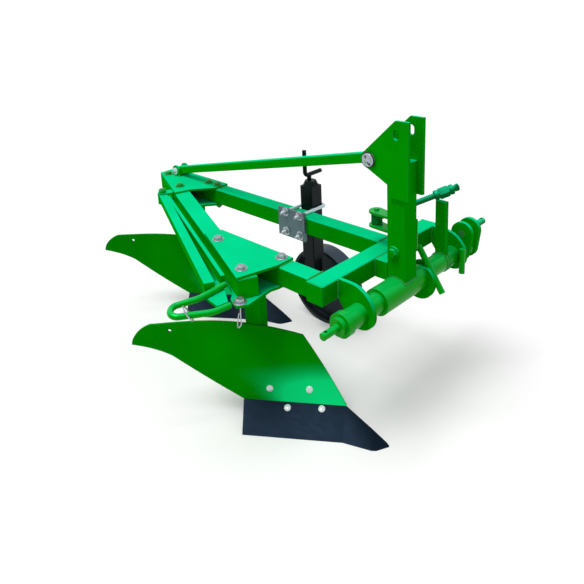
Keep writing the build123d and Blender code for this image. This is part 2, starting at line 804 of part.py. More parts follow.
# Share with its nose, in the same place
# Columns: along, front, top, height, foot width, crown width
share_rows = [
    (460.0, 0.0, seam_setback, seam_height, share_floor_width, share_floor_width),
    (132.0, 0.0, seam_setback, seam_height, share_floor_width, share_floor_width),
    (50.0, -22.0, 37.0, 23.0, 24.0, 14.0),
    (36.0, -21.0, 27.0, 17.0, 22.0, 12.0),
    (1.0, -1.5, 1.0, 2.0, 3.0, 2.0),
]
share_faces = []
for along, front, top, height, foot, crown in share_rows:
    corners = [
        (-along, front, 0),
        (-along, top, height),
        (-along, top + crown, height),
        (-along, front + foot, 0),
    ]
    share_faces.append(make_face(Polyline(*corners, close=True)))
share = loft(share_faces, ruled=True)
wing_outline = Polyline(
    seen(seam_end, seam_height),
    seen(share_wing, 0),
    seen(share_wing - 3, -20),
    seen(-20, -20),
    seen(-20, seam_height),
    close=True,
)
share = share & edge_view(wing_outline)

# Frog behind the board: a backing plate, a shelf, a rib and the socket of the shank
body_place = Pos(front_tip_x, front_tip_y, 0) * Rot(0, 0, edge_angle)
board = body_place * board
share = body_place * share
land_plane = block((-1500, landside_y, -50), (600, 900, 700))
share = share - land_plane
backing_outline = Polyline(
    seen(172, seam_height),
    seen(262, 212),
    seen(350, 214),
    seen(400, 170),
    seen(400, seam_height),
    close=True,
)
backing = board_skin(board_setback_thickness, board_setback_thickness + 14) & edge_view(backing_outline)
backing = body_place * backing
behind_board = body_place * board_skin(board_setback_thickness, 420)
shank = block(
    (shank_centre_x - shank_length / 2, shank_centre_y - shank_thickness / 2, 67),
    (
        shank_centre_x + shank_length / 2,
        shank_centre_y + shank_thickness / 2,
        frame_bottom - gusset_thickness,
    ),
)
landside_inner = landside_y - landside_thickness
shelf = flat_plate(
    [(-44, landside_inner), (-344, landside_inner), (-352, -266), (-247, -311), (-70, -215)],
    seam_height,
    67,
)
socket = block(
    (shank_centre_x - 46, shank_centre_y - 26, 60), (shank_centre_x + 46, shank_centre_y + 26, 170)
)
rib = block((-306, -340, 60), (-294, shank_centre_y - 20, 165))
land_web = side_plate(
    [(-60, 20), (-330, 20), (-330, 67), (-290, 120), (-150, 120), (-70, 67)],
    landside_inner - 12,
    landside_inner,
)
upper_parts = (shelf + socket + rib + land_web) & behind_board
share_rest_corners = [
    (-175, 62, 22),
    (-175, 116, seam_height),
    (-175, 142, seam_height),
    (-175, 142, 22),
]
share_rest = make_face(Polyline(*share_rest_corners, close=True))
share_rest = body_place * extrude(share_rest, amount=215, dir=(-1, 0, 0))
lower_web = side_plate(
    [(-90, 12), (-330, 12), (-330, seam_height), (-90, seam_height)],
    landside_inner - 12,
    landside_inner,
)
frog = upper_parts + backing + share_rest + lower_web
frog = frog - shank - share - board - land_plane
landside = block((landside_rear_x, landside_inner, 0), (120, landside_y, landside_height))
landside = landside - share - board
landside = landside & block(
    (landside_rear_x - 5, landside_inner - 5, -5), (84, landside_y + 5, landside_height + 5)
)
landside_pieces = landside.solids().sort_by(SortBy.VOLUME)
landside = landside_pieces[-1]
frog = frog - landside
frog = frog.solids().sort_by(SortBy.VOLUME)[-1]

body_pieces = {
    "mouldboards": board,
    "shares": share,
    "frogs": frog,
    "landsides": landside,
    "shanks": shank,
}
body_step = Pos(body_step_x, body_step_y, 0)
for name, piece in body_pieces.items():
    nodes[name] = Compound([piece, body_step * piece])

# Towing arm on its upright bolt beside the diagonal beam
pivot_x, pivot_y = beside_diagonal(arm_pivot_along, arm_pivot_out)
arm_high = arm_low + arm_height
arm_middle = arm_low + arm_height / 2
lug_levels = {
    "low": arm_low - arm_lug_gap - arm_lug_thickness,
    "high": arm_high + arm_lug_gap,
}
lugs = []
for level in lug_levels.values():
    lug = turned_block(
        arm_pivot_along - 19,
        arm_pivot_along + 19,
        0,
        arm_pivot_out,
        level,
        level + arm_lug_thickness,
    )
    lug += Pos(pivot_x, pivot_y, level + arm_lug_thickness / 2) * Cylinder(19, arm_lug_thickness)
    lug -= Pos(pivot_x, pivot_y, level) * Cylinder(arm_pivot_radius, 60)
    lugs.append(lug)
lugs[1] = lugs[1] - block((-1400, -300, frame_top), (-500, 300, frame_top + 60))
nodes["arm_lugs"] = Compound(lugs)
pivot_bolt_low = lug_levels["low"] - 8
pivot_bolt_high = frame_top + 10
pivot_bolt = round_bar(
    (pivot_x, pivot_y, pivot_bolt_low), (pivot_x, pivot_y, pivot_bolt_high), arm_pivot_radius
)
pivot_bolt += Pos(pivot_x, pivot_y, pivot_bolt_high - 4) * Cylinder(14, 8)
nodes["arm_pivot_bolt"] = pivot_bolt

loop_points = [
    (-256, -394, 464),
    (-251, -488, 462),
    (-284, -557, 455),
    (-250, -588, 449),
    (-186, -492, 447),
    (-180, -440, 447),
]
loop_path = FilletPolyline(*loop_points, radius=[60, 22, 22, 60])
loop_profile = Plane(origin=loop_path @ 0, z_dir=loop_path % 0) * Circle(loop_radius)
tow_loop = sweep(loop_profile, path=loop_path)
nodes["tow_loop"] = tow_loop


def level_bar(start, end, width, low, high):
    """Flat bar between two plan points, as wide as given."""
    run_x = end[0] - start[0]
    run_y = end[1] - start[1]
    length = math.hypot(run_x, run_y)
    side_x = -run_y / length * width / 2
    side_y = run_x / length * width / 2
    corners = [
        (start[0] + side_x, start[1] + side_y),
        (end[0] + side_x, end[1] + side_y),
        (end[0] - side_x, end[1] - side_y),
        (start[0] - side_x, start[1] - side_y),
    ]
    return flat_plate(corners, low, high)


eye_hole = Pos(pivot_x, pivot_y, arm_middle) * Cylinder(arm_pivot_radius + bearing_clearance, 80)
main_bar = level_bar((pivot_x, pivot_y), (-266, -440), arm_main_width, arm_low, arm_high)
main_bar += Pos(pivot_x, pivot_y, arm_middle) * Cylinder(arm_eye_radius, arm_height)
main_bar = main_bar - eye_hole
brace_bar = level_bar(beside_diagonal(805, 26), (-270, -388), arm_brace_width, arm_low, arm_high)
nodes["arm_main_bar"] = main_bar - tow_loop
nodes["arm_brace_bar"] = brace_bar - main_bar - eye_hole - tow_loop
front_plate = flat_plate(
    [(-310, -382), (-262, -394), (-188, -440), (-192, -474), (-250, -466), (-300, -440)],
    arm_low - 8,
    arm_low,
)
nodes["arm_front_plate"] = front_plate - tow_loop

# Set the whole plough over the origin and write one file for each node
whole = Compound(list(nodes.values()))
whole_box = whole.bounding_box()
shift_x = -(whole_box.min.X + whole_box.max.X) / 2
shift_y = -(whole_box.min.Y + whole_box.max.Y) / 2
shift_z = -whole_box.min.Z
place = Pos(shift_x, shift_y, shift_z)
for name, shape in nodes.items():
    export_step(place * shape, f"parts/{name}.step")
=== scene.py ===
"""Finish of a two-furrow mounted plough: paint, steel, bolts, welds, clips and the studio around it."""

import math

import bpy
import numpy as np
from mathutils import Matrix, Vector


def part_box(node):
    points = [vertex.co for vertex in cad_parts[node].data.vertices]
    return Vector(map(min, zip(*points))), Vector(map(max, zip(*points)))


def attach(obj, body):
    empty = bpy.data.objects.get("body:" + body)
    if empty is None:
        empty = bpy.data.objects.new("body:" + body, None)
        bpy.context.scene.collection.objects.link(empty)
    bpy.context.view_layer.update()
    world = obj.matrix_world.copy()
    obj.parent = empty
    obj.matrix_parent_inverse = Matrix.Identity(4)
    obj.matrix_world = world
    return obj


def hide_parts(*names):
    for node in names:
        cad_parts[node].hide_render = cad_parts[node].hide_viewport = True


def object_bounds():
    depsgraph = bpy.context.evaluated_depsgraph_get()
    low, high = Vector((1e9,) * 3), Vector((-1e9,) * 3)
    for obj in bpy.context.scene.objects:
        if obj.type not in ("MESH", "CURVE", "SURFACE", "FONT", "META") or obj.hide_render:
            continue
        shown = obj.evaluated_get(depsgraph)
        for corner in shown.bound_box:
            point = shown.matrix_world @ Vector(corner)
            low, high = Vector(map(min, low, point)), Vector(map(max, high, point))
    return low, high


bl_info = {
    "name": "Two-furrow plough finish",
    "version": (1, 0, 0),
    "blender": (4, 5, 0),
    "location": "3D View > Sidebar > Plough",
    "description": "Paints a two-furrow plough and adds its bolts, welds, clips and studio",
    "category": "Object",
}

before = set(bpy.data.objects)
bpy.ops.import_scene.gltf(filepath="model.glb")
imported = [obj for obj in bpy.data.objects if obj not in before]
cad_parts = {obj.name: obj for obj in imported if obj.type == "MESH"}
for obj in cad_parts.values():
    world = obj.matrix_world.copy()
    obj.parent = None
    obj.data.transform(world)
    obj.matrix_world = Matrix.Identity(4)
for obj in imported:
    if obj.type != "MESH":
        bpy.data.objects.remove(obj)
cad_low, cad_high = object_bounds()

# Plan of the plough in millimetres: X forward from the crossbeam's front face, Y to the left,
# with the mast's middle plane at Y = -10, and Z up from the ground.
MAST_PLANE = -10.0
mast_low, mast_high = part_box("mast_tube")
PLAN_ORIGIN = np.array(
    [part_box("front_crossbeam")[1].x, (mast_low.y + mast_high.y) / 2 - MAST_PLANE / 1000, 0.0]
)

# Directions that the fasteners look along
UP = np.array([0.0, 0.0, 1.0])
LEFT = np.array([0.0, 1.0, 0.0])
FULL_TURN = 2 * math.pi

# Faces that the fasteners sit on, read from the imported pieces
GUSSET_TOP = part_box("front_gussets")[1].z
GUSSET_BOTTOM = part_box("front_gussets")[0].z
CLAMP_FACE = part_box("wheel_clamp_plate")[0].y

# Points round a turned piece, a wire, a weld and a thread, and the angle past which an edge is sharp
BOLT_AROUND = 36
WIRE_AROUND = 10
WELD_AROUND = 8
THREAD_AROUND = 24
SHARP_EDGE = math.radians(35)

# Weld beads: the length of one ripple, and how much it swells the bead
WELD_PITCH = 0.0045
WELD_RIPPLE = 0.14

# Each plough body: its share's tip in plan, the turn of its cutting edge and the step to the rear body
SHARE_TIP = np.array([141.2, -168.0, 0.0])
EDGE_TURN = math.radians(35)
BODY_STEP = np.array([-672.0, 292.0, 0.0])
EDGE_BACK = np.array([-math.cos(EDGE_TURN), -math.sin(EDGE_TURN), 0.0])
EDGE_SIDE = np.array([-math.sin(EDGE_TURN), math.cos(EDGE_TURN), 0.0])


def plan(x, y, z):
    """Point of the plan, in millimetres, as metres in the shared frame."""
    return PLAN_ORIGIN + np.array([x, y, z]) / 1000


def beside_edge(along, out, height, body):
    """Point beside the cutting edge of body 0 or 1: back along the edge, in behind it, and up."""
    point = SHARE_TIP + along * EDGE_BACK + out * EDGE_SIDE + body * BODY_STEP
    return plan(point[0], point[1], height)


def middle_of(node):
    """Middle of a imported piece's box."""
    low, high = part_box(node)
    return np.array((low + high) / 2)


def unit(vector):
    """Vector of length one."""
    vector = np.asarray(vector, float)
    return vector / np.linalg.norm(vector)


def axes_about(axis):
    """Three rows: two directions square to the axis, and the axis."""
    along = unit(axis)
    helper = UP if abs(along[2]) < 0.9 else np.array([1.0, 0.0, 0.0])
    across = unit(np.cross(helper, along))
    return np.stack([across, np.cross(along, across), along])


def circle_about(axis, angle):
    """Rows of points on a circle of radius one, cos a across + sin a other, and the axis."""
    across, other, along = axes_about(axis)
    return np.cos(angle)[:, None] * across + np.sin(angle)[:, None] * other, along


def closed_grid(rows, closed_path=False):
    """Vertices and faces of rows of points that go round a path.

    Quads join row i to row i + 1 and wrap round each row. The two ends are closed by a fan on
    the mean of the end row, or the last row is joined to the first when the path is closed.
    """
    count, around = rows.shape[:2]
    points = rows.reshape(-1, 3)
    row_index = np.arange(count if closed_path else count - 1)
    corner = np.arange(around)
    next_corner = (corner + 1) % around
    low = row_index[:, None] * around
    high = ((row_index + 1) % count)[:, None] * around
    quads = np.stack([low + corner, low + next_corner, high + next_corner, high + corner], 2).reshape(-1, 4)
    if closed_path:
        return points, quads, np.zeros((0, 3), int)
    last = (count - 1) * around
    poles = np.stack([rows[0].mean(0), rows[-1].mean(0)])
    start = np.full(around, len(points))
    first_fan = np.stack([start, next_corner, corner], 1)
    last_fan = np.stack([start + 1, last + corner, last + next_corner], 1)
    return np.concatenate([points, poles]), quads, np.concatenate([first_fan, last_fan])


def turned(profile, origin, axis, twist=0.0, bored=False):
    """Piece turned about an axis, with round or six-sided rows.

    P(h, a) = origin + h axis + r(h, a) (cos a, sin a). A profile row holds height and radius in
    metres, and a share that says how six-sided the row is. At 1 it is a hexagon with r to its
    flats, r / cos(d) with d the angle from the nearest flat. A bored piece's profile goes round
    to where it began, so it has a hole along its axis.
    """
    table = np.asarray(profile, float)
    angle = np.linspace(0, FULL_TURN, BOLT_AROUND, endpoint=False)
    from_flat = (angle + math.pi / 6) % (math.pi / 3) - math.pi / 6
    hexagon = 1 / np.cos(from_flat)
    radius = table[:, 1:2] * (1 + table[:, 2:3] * (hexagon - 1))
    circle, along = circle_about(axis, angle + twist)
    rows = np.asarray(origin) + table[:, 0, None, None] * along + radius[:, :, None] * circle
    return closed_grid(rows, closed_path=bored)


def rod(path, radius, reference, around=WIRE_AROUND, closed_path=False):
    """Round bar along a path.

    P(i, a) = C(i) + r(i, a) (cos a N + sin a B), where T is the path's direction, N is the
    reference made square to T, and B = T x N. The radius is one number or a table over i and a.
    """
    centres = np.asarray(path, float)
    if closed_path:
        tangent = np.roll(centres, -1, 0) - np.roll(centres, 1, 0)
    else:
        tangent = np.gradient(centres, axis=0)
    tangent = tangent / np.linalg.norm(tangent, axis=1, keepdims=True)
    reference = np.asarray(reference, float)
    normal = reference - (tangent @ reference)[:, None] * tangent
    normal = normal / np.linalg.norm(normal, axis=1, keepdims=True)
    binormal = np.cross(tangent, normal)
    angle = np.linspace(0, FULL_TURN, around, endpoint=False)[None, :, None]
    circle = np.cos(angle) * normal[:, None] + np.sin(angle) * binormal[:, None]
    size = np.broadcast_to(radius, (len(centres), around))[:, :, None]
    return closed_grid(centres[:, None] + size * circle, closed_path)


def joined(parts):
    """One set of vertices and faces from several."""
    start = np.cumsum([0] + [len(part[0]) for part in parts[:-1]])
    points = np.concatenate([part[0] for part in parts])
    quads = np.concatenate([part[1] + first for part, first in zip(parts, start)])
    fans = np.concatenate([part[2] + first for part, first in zip(parts, start)])
    return points, quads, fans


def add_piece(name, parts, finish, body):
    """New mesh piece from parts, with its finish, that rides on a body."""
    points, quads, fans = joined(parts)
    mesh = bpy.data.meshes.new(name)
    mesh.from_pydata(points.tolist(), [], quads.tolist() + fans.tolist())
    mesh.validate()
    mesh.materials.append(material(finish))
    mesh.shade_smooth()
    mesh.set_sharp_from_angle(angle=SHARP_EDGE)
    piece = bpy.data.objects.new(name, mesh)
    bpy.context.scene.collection.objects.link(piece)
    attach(piece, body)
    return piece


def on_surface(node, start, direction):
    """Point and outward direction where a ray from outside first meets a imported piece."""
    hit, point, normal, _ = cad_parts[node].ray_cast(Vector(start), Vector(direction))
    if not hit:
        raise RuntimeError(f"nothing of {node} lies along this ray")
    if normal.dot(Vector(direction)) > 0:
        normal = -normal
    return np.array(point), np.array(normal)


def flat_plate(outline, rise, edge=0.001):
    """Plate: an outline, which goes round anticlockwise as seen against rise, carried along rise.

    The rows are the outline drawn in towards its middle by the edge, the full outline as far
    above the bottom and below the top as the edge is wide, and the drawn-in outline again.
    """
    outline = np.asarray(outline, float)
    inward = outline.mean(0) - outline
    inward = edge * inward / np.linalg.norm(inward, axis=1, keepdims=True)
    height = np.linalg.norm(rise)
    up = unit(rise)
    bottom, top = outline + inward, outline + inward + height * up
    return closed_grid(np.stack([bottom, outline + edge * up, outline + (height - edge) * up, top]))


def hex_head(origin, axis, flats, height, twist=0.0):
    """Bolt head: a hexagon with its corners chamfered on top, with a shallow crown."""
    half = flats / 2
    profile = [
        (0.0, half * 0.98, 1),
        (0.0003, half, 1),
        (height * 0.80, half, 1),
        (height * 0.93, half * 0.97, 0.75),
        (height, half * 0.90, 0.1),
        (height, half * 0.55, 0),
        (height * 0.97, half * 0.50, 0),
        (height * 0.97, half * 0.05, 0),
    ]
    return turned(profile, origin, axis, twist=twist)


def washer(origin, axis, radius, thickness):
    """Flat round washer with its rim rounded off."""
    edge = thickness * 0.25
    profile = [
        (0.0, radius - edge, 0),
        (edge, radius, 0),
        (thickness - edge, radius, 0),
        (thickness, radius - edge, 0),
        (thickness, radius * 0.35, 0),
    ]
    return turned(profile, origin, axis)


def threaded_end(origin, axis, radius, length, pitch=0.00175):
    """Screw thread: r(h, a) = r0 - d |2 ((h / pitch - a / 2 pi) mod 1) - 1|, tapered at the tip.

    The depth d is 0.45 of the pitch, but no more than 0.16 of the radius.
    """
    steps = max(int(length / pitch * 6), 12)
    height = np.linspace(0, length, steps)
    turn = np.linspace(0, 1, THREAD_AROUND, endpoint=False)
    phase = (height[:, None] / pitch - turn[None, :]) % 1
    depth = min(pitch * 0.45, radius * 0.16)
    size = radius - depth * np.abs(2 * phase - 1)
    tip = np.clip((length - height) / (pitch * 1.2), 0, 1)[:, None]
    size = size * (0.80 + 0.20 * tip)
    path = np.asarray(origin) + height[:, None] * unit(axis)
    return rod(path, size, axes_about(axis)[0], THREAD_AROUND)


# Parts of a bolt, as shares of its size across flats. The stud starts just inside the nut's top.
HEAD_HEIGHT = 0.42
NUT_HEIGHT = 0.5
STUD_START = 0.9 * NUT_HEIGHT
STUD_RADIUS = 0.31
WASHER_RADIUS = 0.86
WASHER_HEIGHT = 0.12


def bolt(origin, axis, flats, twist=0.0, height=HEAD_HEIGHT):
    """Hexagon head on its washer."""
    axis = unit(axis)
    thickness = flats * WASHER_HEIGHT
    seat = np.asarray(origin) + thickness * axis
    return [
        washer(origin, axis, flats * WASHER_RADIUS, thickness),
        hex_head(seat, axis, flats, flats * height, twist),
    ]


def nut_on_stud(origin, axis, flats, stud, twist=0.0):
    """Nut on its washer, with the threaded end of the rod standing out of it."""
    stud_foot = np.asarray(origin) + (WASHER_HEIGHT + STUD_START) * flats * unit(axis)
    thread = threaded_end(stud_foot, axis, flats * STUD_RADIUS, stud)
    return [*bolt(origin, axis, flats, twist, NUT_HEIGHT), thread]


def plough_bolt(origin, axis, radius):
    """Low domed head of a plough bolt, h = 0.10 r + 0.26 r (1 - (s / r)^2), with a rounded rim."""
    share = np.linspace(1, 0.06, 9)
    crown = radius * 0.26 * (1 - share**2) + radius * 0.10
    profile = [(-0.0008, radius * 0.96, 0), (radius * 0.04, radius, 0)]
    profile += [(height, radius * part, 0) for height, part in zip(crown, share * 0.985)]
    return turned(profile, origin, axis)


def ring(centre, axis, radius, thickness):
    """Closed ring of round wire about an axis: C(a) = centre + r (cos a across + sin a other)."""
    circle, along = circle_about(axis, np.linspace(0, FULL_TURN, 40, endpoint=False))
    return rod(np.asarray(centre) + radius * circle, thickness, along, closed_path=True)


def smooth_path(points, per_span=10):
    """Catmull-Rom curve through points, with the same number of steps in each span."""
    points = np.asarray(points, float)
    full = np.concatenate([[2 * points[0] - points[1]], points, [2 * points[-1] - points[-2]]])
    step = np.linspace(0, 1, per_span, endpoint=False)[None, :, None]
    before, here, after, beyond = (full[i : len(full) - 3 + i, None] for i in range(4))
    curve = 0.5 * (
        2 * here
        + (after - before) * step
        + (2 * before - 5 * here + 4 * after - beyond) * step**2
        + (3 * here - before - 3 * after + beyond) * step**3
    )
    return np.concatenate([curve.reshape(-1, 3), points[-1:]])


def bent_wire(points, radius, reference):
    """Round wire along a smooth curve through points."""
    return rod(smooth_path(points), radius, reference)


def weld(points, size):
    """Weld beads along straight runs: r(s) = r0 (1 + k cos(2 pi s / pitch)) (1 - t^20)^0.5.

    The ripple k swells the bead, and t, which goes from -1 to 1 along a run, rounds its ends.
    """
    points = np.asarray(points, float)
    parts = []
    for start, end in zip(points[:-1], points[1:]):
        length = np.linalg.norm(end - start)
        steps = max(int(length / WELD_PITCH * 5), 8)
        share = np.linspace(0, 1, steps)
        ends = np.clip(1 - (2 * share - 1) ** 20, 0.02, 1) ** 0.5
        wave = 1 + WELD_RIPPLE * np.cos(FULL_TURN * share * length / WELD_PITCH)
        path = start + share[:, None] * (end - start)
        reference = axes_about(end - start)[0]
        parts.append(rod(path, (size * wave * ends)[:, None], reference, WELD_AROUND))
    return parts


def weld_round(centre, radius, size, start=0.0, sweep=FULL_TURN):
    """Weld bead round a bar that lies along Y: a circle or arc with a straight bead's ripple."""
    steps = max(int(radius * sweep / WELD_PITCH * 5), 16)
    closed_path = sweep >= FULL_TURN
    share = np.linspace(0, 1, steps, endpoint=not closed_path)
    circle, along = circle_about(LEFT, start + share * sweep)
    ripples = round(radius * sweep / WELD_PITCH)
    wave = 1 + WELD_RIPPLE * np.cos(FULL_TURN * share * ripples)
    path = np.asarray(centre) + radius * circle
    return rod(path, (size * wave)[:, None], along, WELD_AROUND, closed_path)


def colour_property(name, description, default):
    """Colour that a user can change."""
    return bpy.props.FloatVectorProperty(
        name=name, description=description, default=default, subtype="COLOR", min=0, max=1
    )


def length_property(name, description, default):
    """Length in metres that a user can change."""
    return bpy.props.FloatProperty(
        name=name, description=description, default=default, subtype="DISTANCE", unit="LENGTH"
    )


class PloughFinish(bpy.types.PropertyGroup):
    """Colours and gloss of the plough's finishes."""

    green: colour_property(
        "Green paint", "Colour of the frame, mast, hitch and mouldboards", (0.001, 0.37, 0.0005)
    )
    # Painted sheen: a paler colour laid on the paint's upward faces, standing in for the light that falls on
    # them
    green_sheen: colour_property(
        "Film on top", "Pale film that shows on the paint's upward faces", (0.002, 0.76, 0.34)
    )
    primer: colour_property("Worn edge", "Lighter paint along rubbed edges", (0.05, 0.62, 0.16))
    black: colour_property(
        "Black paint", "Colour of the depth wheel's leg, tube, cap and crank", (0.0015, 0.0035, 0.0035)
    )
    share: colour_property(
        "Share steel", "Dark slate colour of the shares and landsides", (0.0036, 0.0088, 0.0165)
    )
    zinc: colour_property("Zinc", "Colour of plated bolts, nuts, pins and clips", (0.72, 0.93, 1.0))
    plate: colour_property(
        "Clamp plate", "Darker, bluer zinc of the wheel clamp's plate", (0.115, 0.20, 0.225)
    )
    paint_roughness: bpy.props.FloatProperty(
        name="Paint roughness",
        description="Roughness of the green paint before its fine variation",
        default=0.38,
        min=0,
        max=1,
        subtype="FACTOR",
    )


class PloughHardware(bpy.types.PropertyGroup):
    """Sizes of the bolts, wires and welds."""

    bolt_flats: length_property("Bolt size", "Distance across the flats of the gusset bolts", 0.022)
    nut_flats: length_property(
        "Clamp nut size", "Distance across the flats of the nuts on the wheel clamp", 0.019
    )
    head_radius: length_property(
        "Plough bolt head", "Radius of the domed heads in the shares and mouldboards", 0.0105
    )
    wire_radius: length_property("Clip wire", "Radius of the spring clips' wire", 0.0022)
    weld_size: length_property("Weld size", "Radius of the weld beads", 0.0032)


class PloughStudio(bpy.types.PropertyGroup):
    """Light and floor."""

    sun_strength: bpy.props.FloatProperty(
        name="Key light", description="Strength of the soft light from above", default=2.1, min=0
    )
    room_light: bpy.props.FloatProperty(
        name="Room light", description="Even light from all round", default=0.42, min=0
    )
    floor_colour: colour_property("Floor", "Colour of the pale floor", (0.86, 0.86, 0.86))
    floor_lift: bpy.props.FloatProperty(
        name="Floor lift",
        description="Light added to the floor as the camera sees it, so that it is white outside the shadow",
        default=0.16,
        min=0,
    )


def new_group(name, inputs, outputs):
    """Empty shader node group with named inputs (name, type, default) and outputs (name, type)."""
    group = bpy.data.node_groups.new(name, "ShaderNodeTree")
    for label, kind, value in inputs:
        socket = group.interface.new_socket(label, in_out="INPUT", socket_type=kind)
        socket.default_value = value
    for label, kind in outputs:
        group.interface.new_socket(label, in_out="OUTPUT", socket_type=kind)
    source = group.nodes.new("NodeGroupInput")
    source.location = (-900, 0)
    target = group.nodes.new("NodeGroupOutput")
    target.location = (600, 0)
    return group, source, target


def add_node(tree, kind, place, **settings):
    """Node of a kind at a place, with its plain settings and its inputs by name."""
    node = tree.nodes.new(kind)
    node.location = place
    for key, value in settings.items():
        if key.startswith("in_"):
            node.inputs[key[3:].replace("_", " ")].default_value = value
        else:
            setattr(node, key, value)
    return node


def math_node(tree, operation, place, first, second=None, third=None, clamp=False):
    """Math node whose inputs are sockets or numbers."""
    node = add_node(tree, "ShaderNodeMath", place, operation=operation, use_clamp=clamp)
    for index, value in enumerate((first, second, third)):
        if value is None:
            continue
        if isinstance(value, (int, float)):
            node.inputs[index].default_value = value
        else:
            tree.links.new(value, node.inputs[index])
    return node.outputs[0]


def mix_colour(tree, place, factor, first, second):
    """Blend of two colours, where each input is a socket or a colour."""
    node = add_node(tree, "ShaderNodeMix", place, data_type="RGBA")
    for index, value in ((0, factor), (6, first), (7, second)):
        if isinstance(value, (tuple, list)):
            node.inputs[index].default_value = (*value[:3], 1.0)
        elif isinstance(value, (int, float)):
            node.inputs[index].default_value = value
        else:
            tree.links.new(value, node.inputs[index])
    return node.outputs[2]


def cloud_noise(group, source, place, scale, **settings):
    """Noise over the piece's own coordinates, with its scale from a named input of the group."""
    coords = add_node(group, "ShaderNodeTexCoord", (place[0] - 200, place[1]))
    noise = add_node(group, "ShaderNodeTexNoise", place, **settings)
    group.links.new(coords.outputs["Object"], noise.inputs["Vector"])
    group.links.new(source.outputs[scale], noise.inputs["Scale"])
    return noise.outputs["Fac"]


def build_mottle():
    """Group: slow and fast cloudy variation over the surface, as two values about 0.5."""
    group, source, target = new_group(
        "mottle",
        [("Slow Scale", "NodeSocketFloat", 6.0), ("Fast Scale", "NodeSocketFloat", 90.0)],
        [("Slow", "NodeSocketFloat"), ("Fast", "NodeSocketFloat")],
    )
    for label, row in (("Slow", 150), ("Fast", -150)):
        cloud = cloud_noise(group, source, (-400, row), f"{label} Scale", in_Detail=4.0, in_Roughness=0.55)
        group.links.new(cloud, target.inputs[label])
    return group


def build_rubbed_edge():
    """Group: a mask along sharp edges, where the bevelled normal leaves the flat one, and that normal."""
    group, source, target = new_group(
        "rubbed_edge",
        [("Radius", "NodeSocketFloat", 0.0018), ("Breakup", "NodeSocketFloat", 60.0)],
        [("Mask", "NodeSocketFloat"), ("Normal", "NodeSocketVector")],
    )
    bevel = add_node(group, "ShaderNodeBevel", (-600, 150), samples=4)
    group.links.new(source.outputs["Radius"], bevel.inputs["Radius"])
    geometry = add_node(group, "ShaderNodeNewGeometry", (-600, -50))
    dot = add_node(group, "ShaderNodeVectorMath", (-380, 80), operation="DOT_PRODUCT")
    group.links.new(bevel.outputs["Normal"], dot.inputs[0])
    group.links.new(geometry.outputs["Normal"], dot.inputs[1])
    lean = math_node(group, "SUBTRACT", (-200, 80), 1.0, dot.outputs["Value"])
    noise = cloud_noise(group, source, (-600, -300), "Breakup", in_Detail=3.0)
    broken = math_node(group, "MULTIPLY", (-200, -200), noise, 9.0)
    mask = math_node(group, "MULTIPLY", (0, 0), lean, broken, clamp=True)
    group.links.new(mask, target.inputs["Mask"])
    group.links.new(bevel.outputs["Normal"], target.inputs["Normal"])
    return group


def build_sheen_on_top():
    """Group: how far a face looks up, between a steep and a level limit, for the painted sheen on top: a
    paler colour that stands in for the light on upward faces.

    A slow cloud breaks it, and it fades out upwards, from 60 mm above the ground to the fade height.
    """
    group, source, target = new_group(
        "sheen_on_top",
        [
            ("Amount", "NodeSocketFloat", 0.5),
            ("Scale", "NodeSocketFloat", 5.0),
            ("Steep", "NodeSocketFloat", 0.12),
            ("Level", "NodeSocketFloat", 0.92),
            ("Fade Height", "NodeSocketFloat", 100.0),
        ],
        [("Mask", "NodeSocketFloat")],
    )
    geometry = add_node(group, "ShaderNodeNewGeometry", (-900, -200))
    split = add_node(group, "ShaderNodeSeparateXYZ", (-700, -200))
    group.links.new(geometry.outputs["Normal"], split.inputs[0])
    facing = add_node(group, "ShaderNodeMapRange", (-500, -200), interpolation_type="SMOOTHSTEP")
    group.links.new(source.outputs["Steep"], facing.inputs["From Min"])
    group.links.new(source.outputs["Level"], facing.inputs["From Max"])
    group.links.new(split.outputs["Z"], facing.inputs["Value"])
    coords = add_node(group, "ShaderNodeTexCoord", (-900, 100))
    place = add_node(group, "ShaderNodeSeparateXYZ", (-700, 100))
    group.links.new(coords.outputs["Object"], place.inputs[0])
    fade = add_node(
        group,
        "ShaderNodeMapRange",
        (-500, 100),
        interpolation_type="SMOOTHSTEP",
        in_From_Min=0.06,
        in_To_Min=1.0,
        in_To_Max=0.0,
    )
    group.links.new(source.outputs["Fade Height"], fade.inputs["From Max"])
    group.links.new(place.outputs["Z"], fade.inputs["Value"])
    noise = cloud_noise(group, source, (-700, -450), "Scale", in_Detail=3.0)
    cloud = math_node(group, "MULTIPLY_ADD", (-300, -450), noise, 0.8, 0.55)
    strength = math_node(group, "MULTIPLY", (-100, -300), facing.outputs["Result"], cloud)
    lower = math_node(group, "MULTIPLY", (0, 50), strength, fade.outputs["Result"])
    mask = math_node(group, "MULTIPLY", (150, -200), lower, source.outputs["Amount"], clamp=True)
    group.links.new(mask, target.inputs["Mask"])
    return group


def use_group(tree, group, place, **values):
    """Node that places a shared group in a material, with its own values."""
    node = add_node(tree, "ShaderNodeGroup", place)
    node.node_tree = group
    for key, value in values.items():
        node.inputs[key.replace("_", " ")].default_value = value
    return node


def new_material(name, metallic=0.0, specular=0.5, tint=(1.0, 1.0, 1.0)):
    """New finish with its Principled shader, and the tree to add to."""
    finish = bpy.data.materials.new(name)
    finish.use_nodes = True
    shader = finish.node_tree.nodes["Principled BSDF"]
    shader.inputs["Metallic"].default_value = metallic
    shader.inputs["Specular IOR Level"].default_value = specular
    shader.inputs["Specular Tint"].default_value = (*tint, 1.0)
    return finish, finish.node_tree, shader


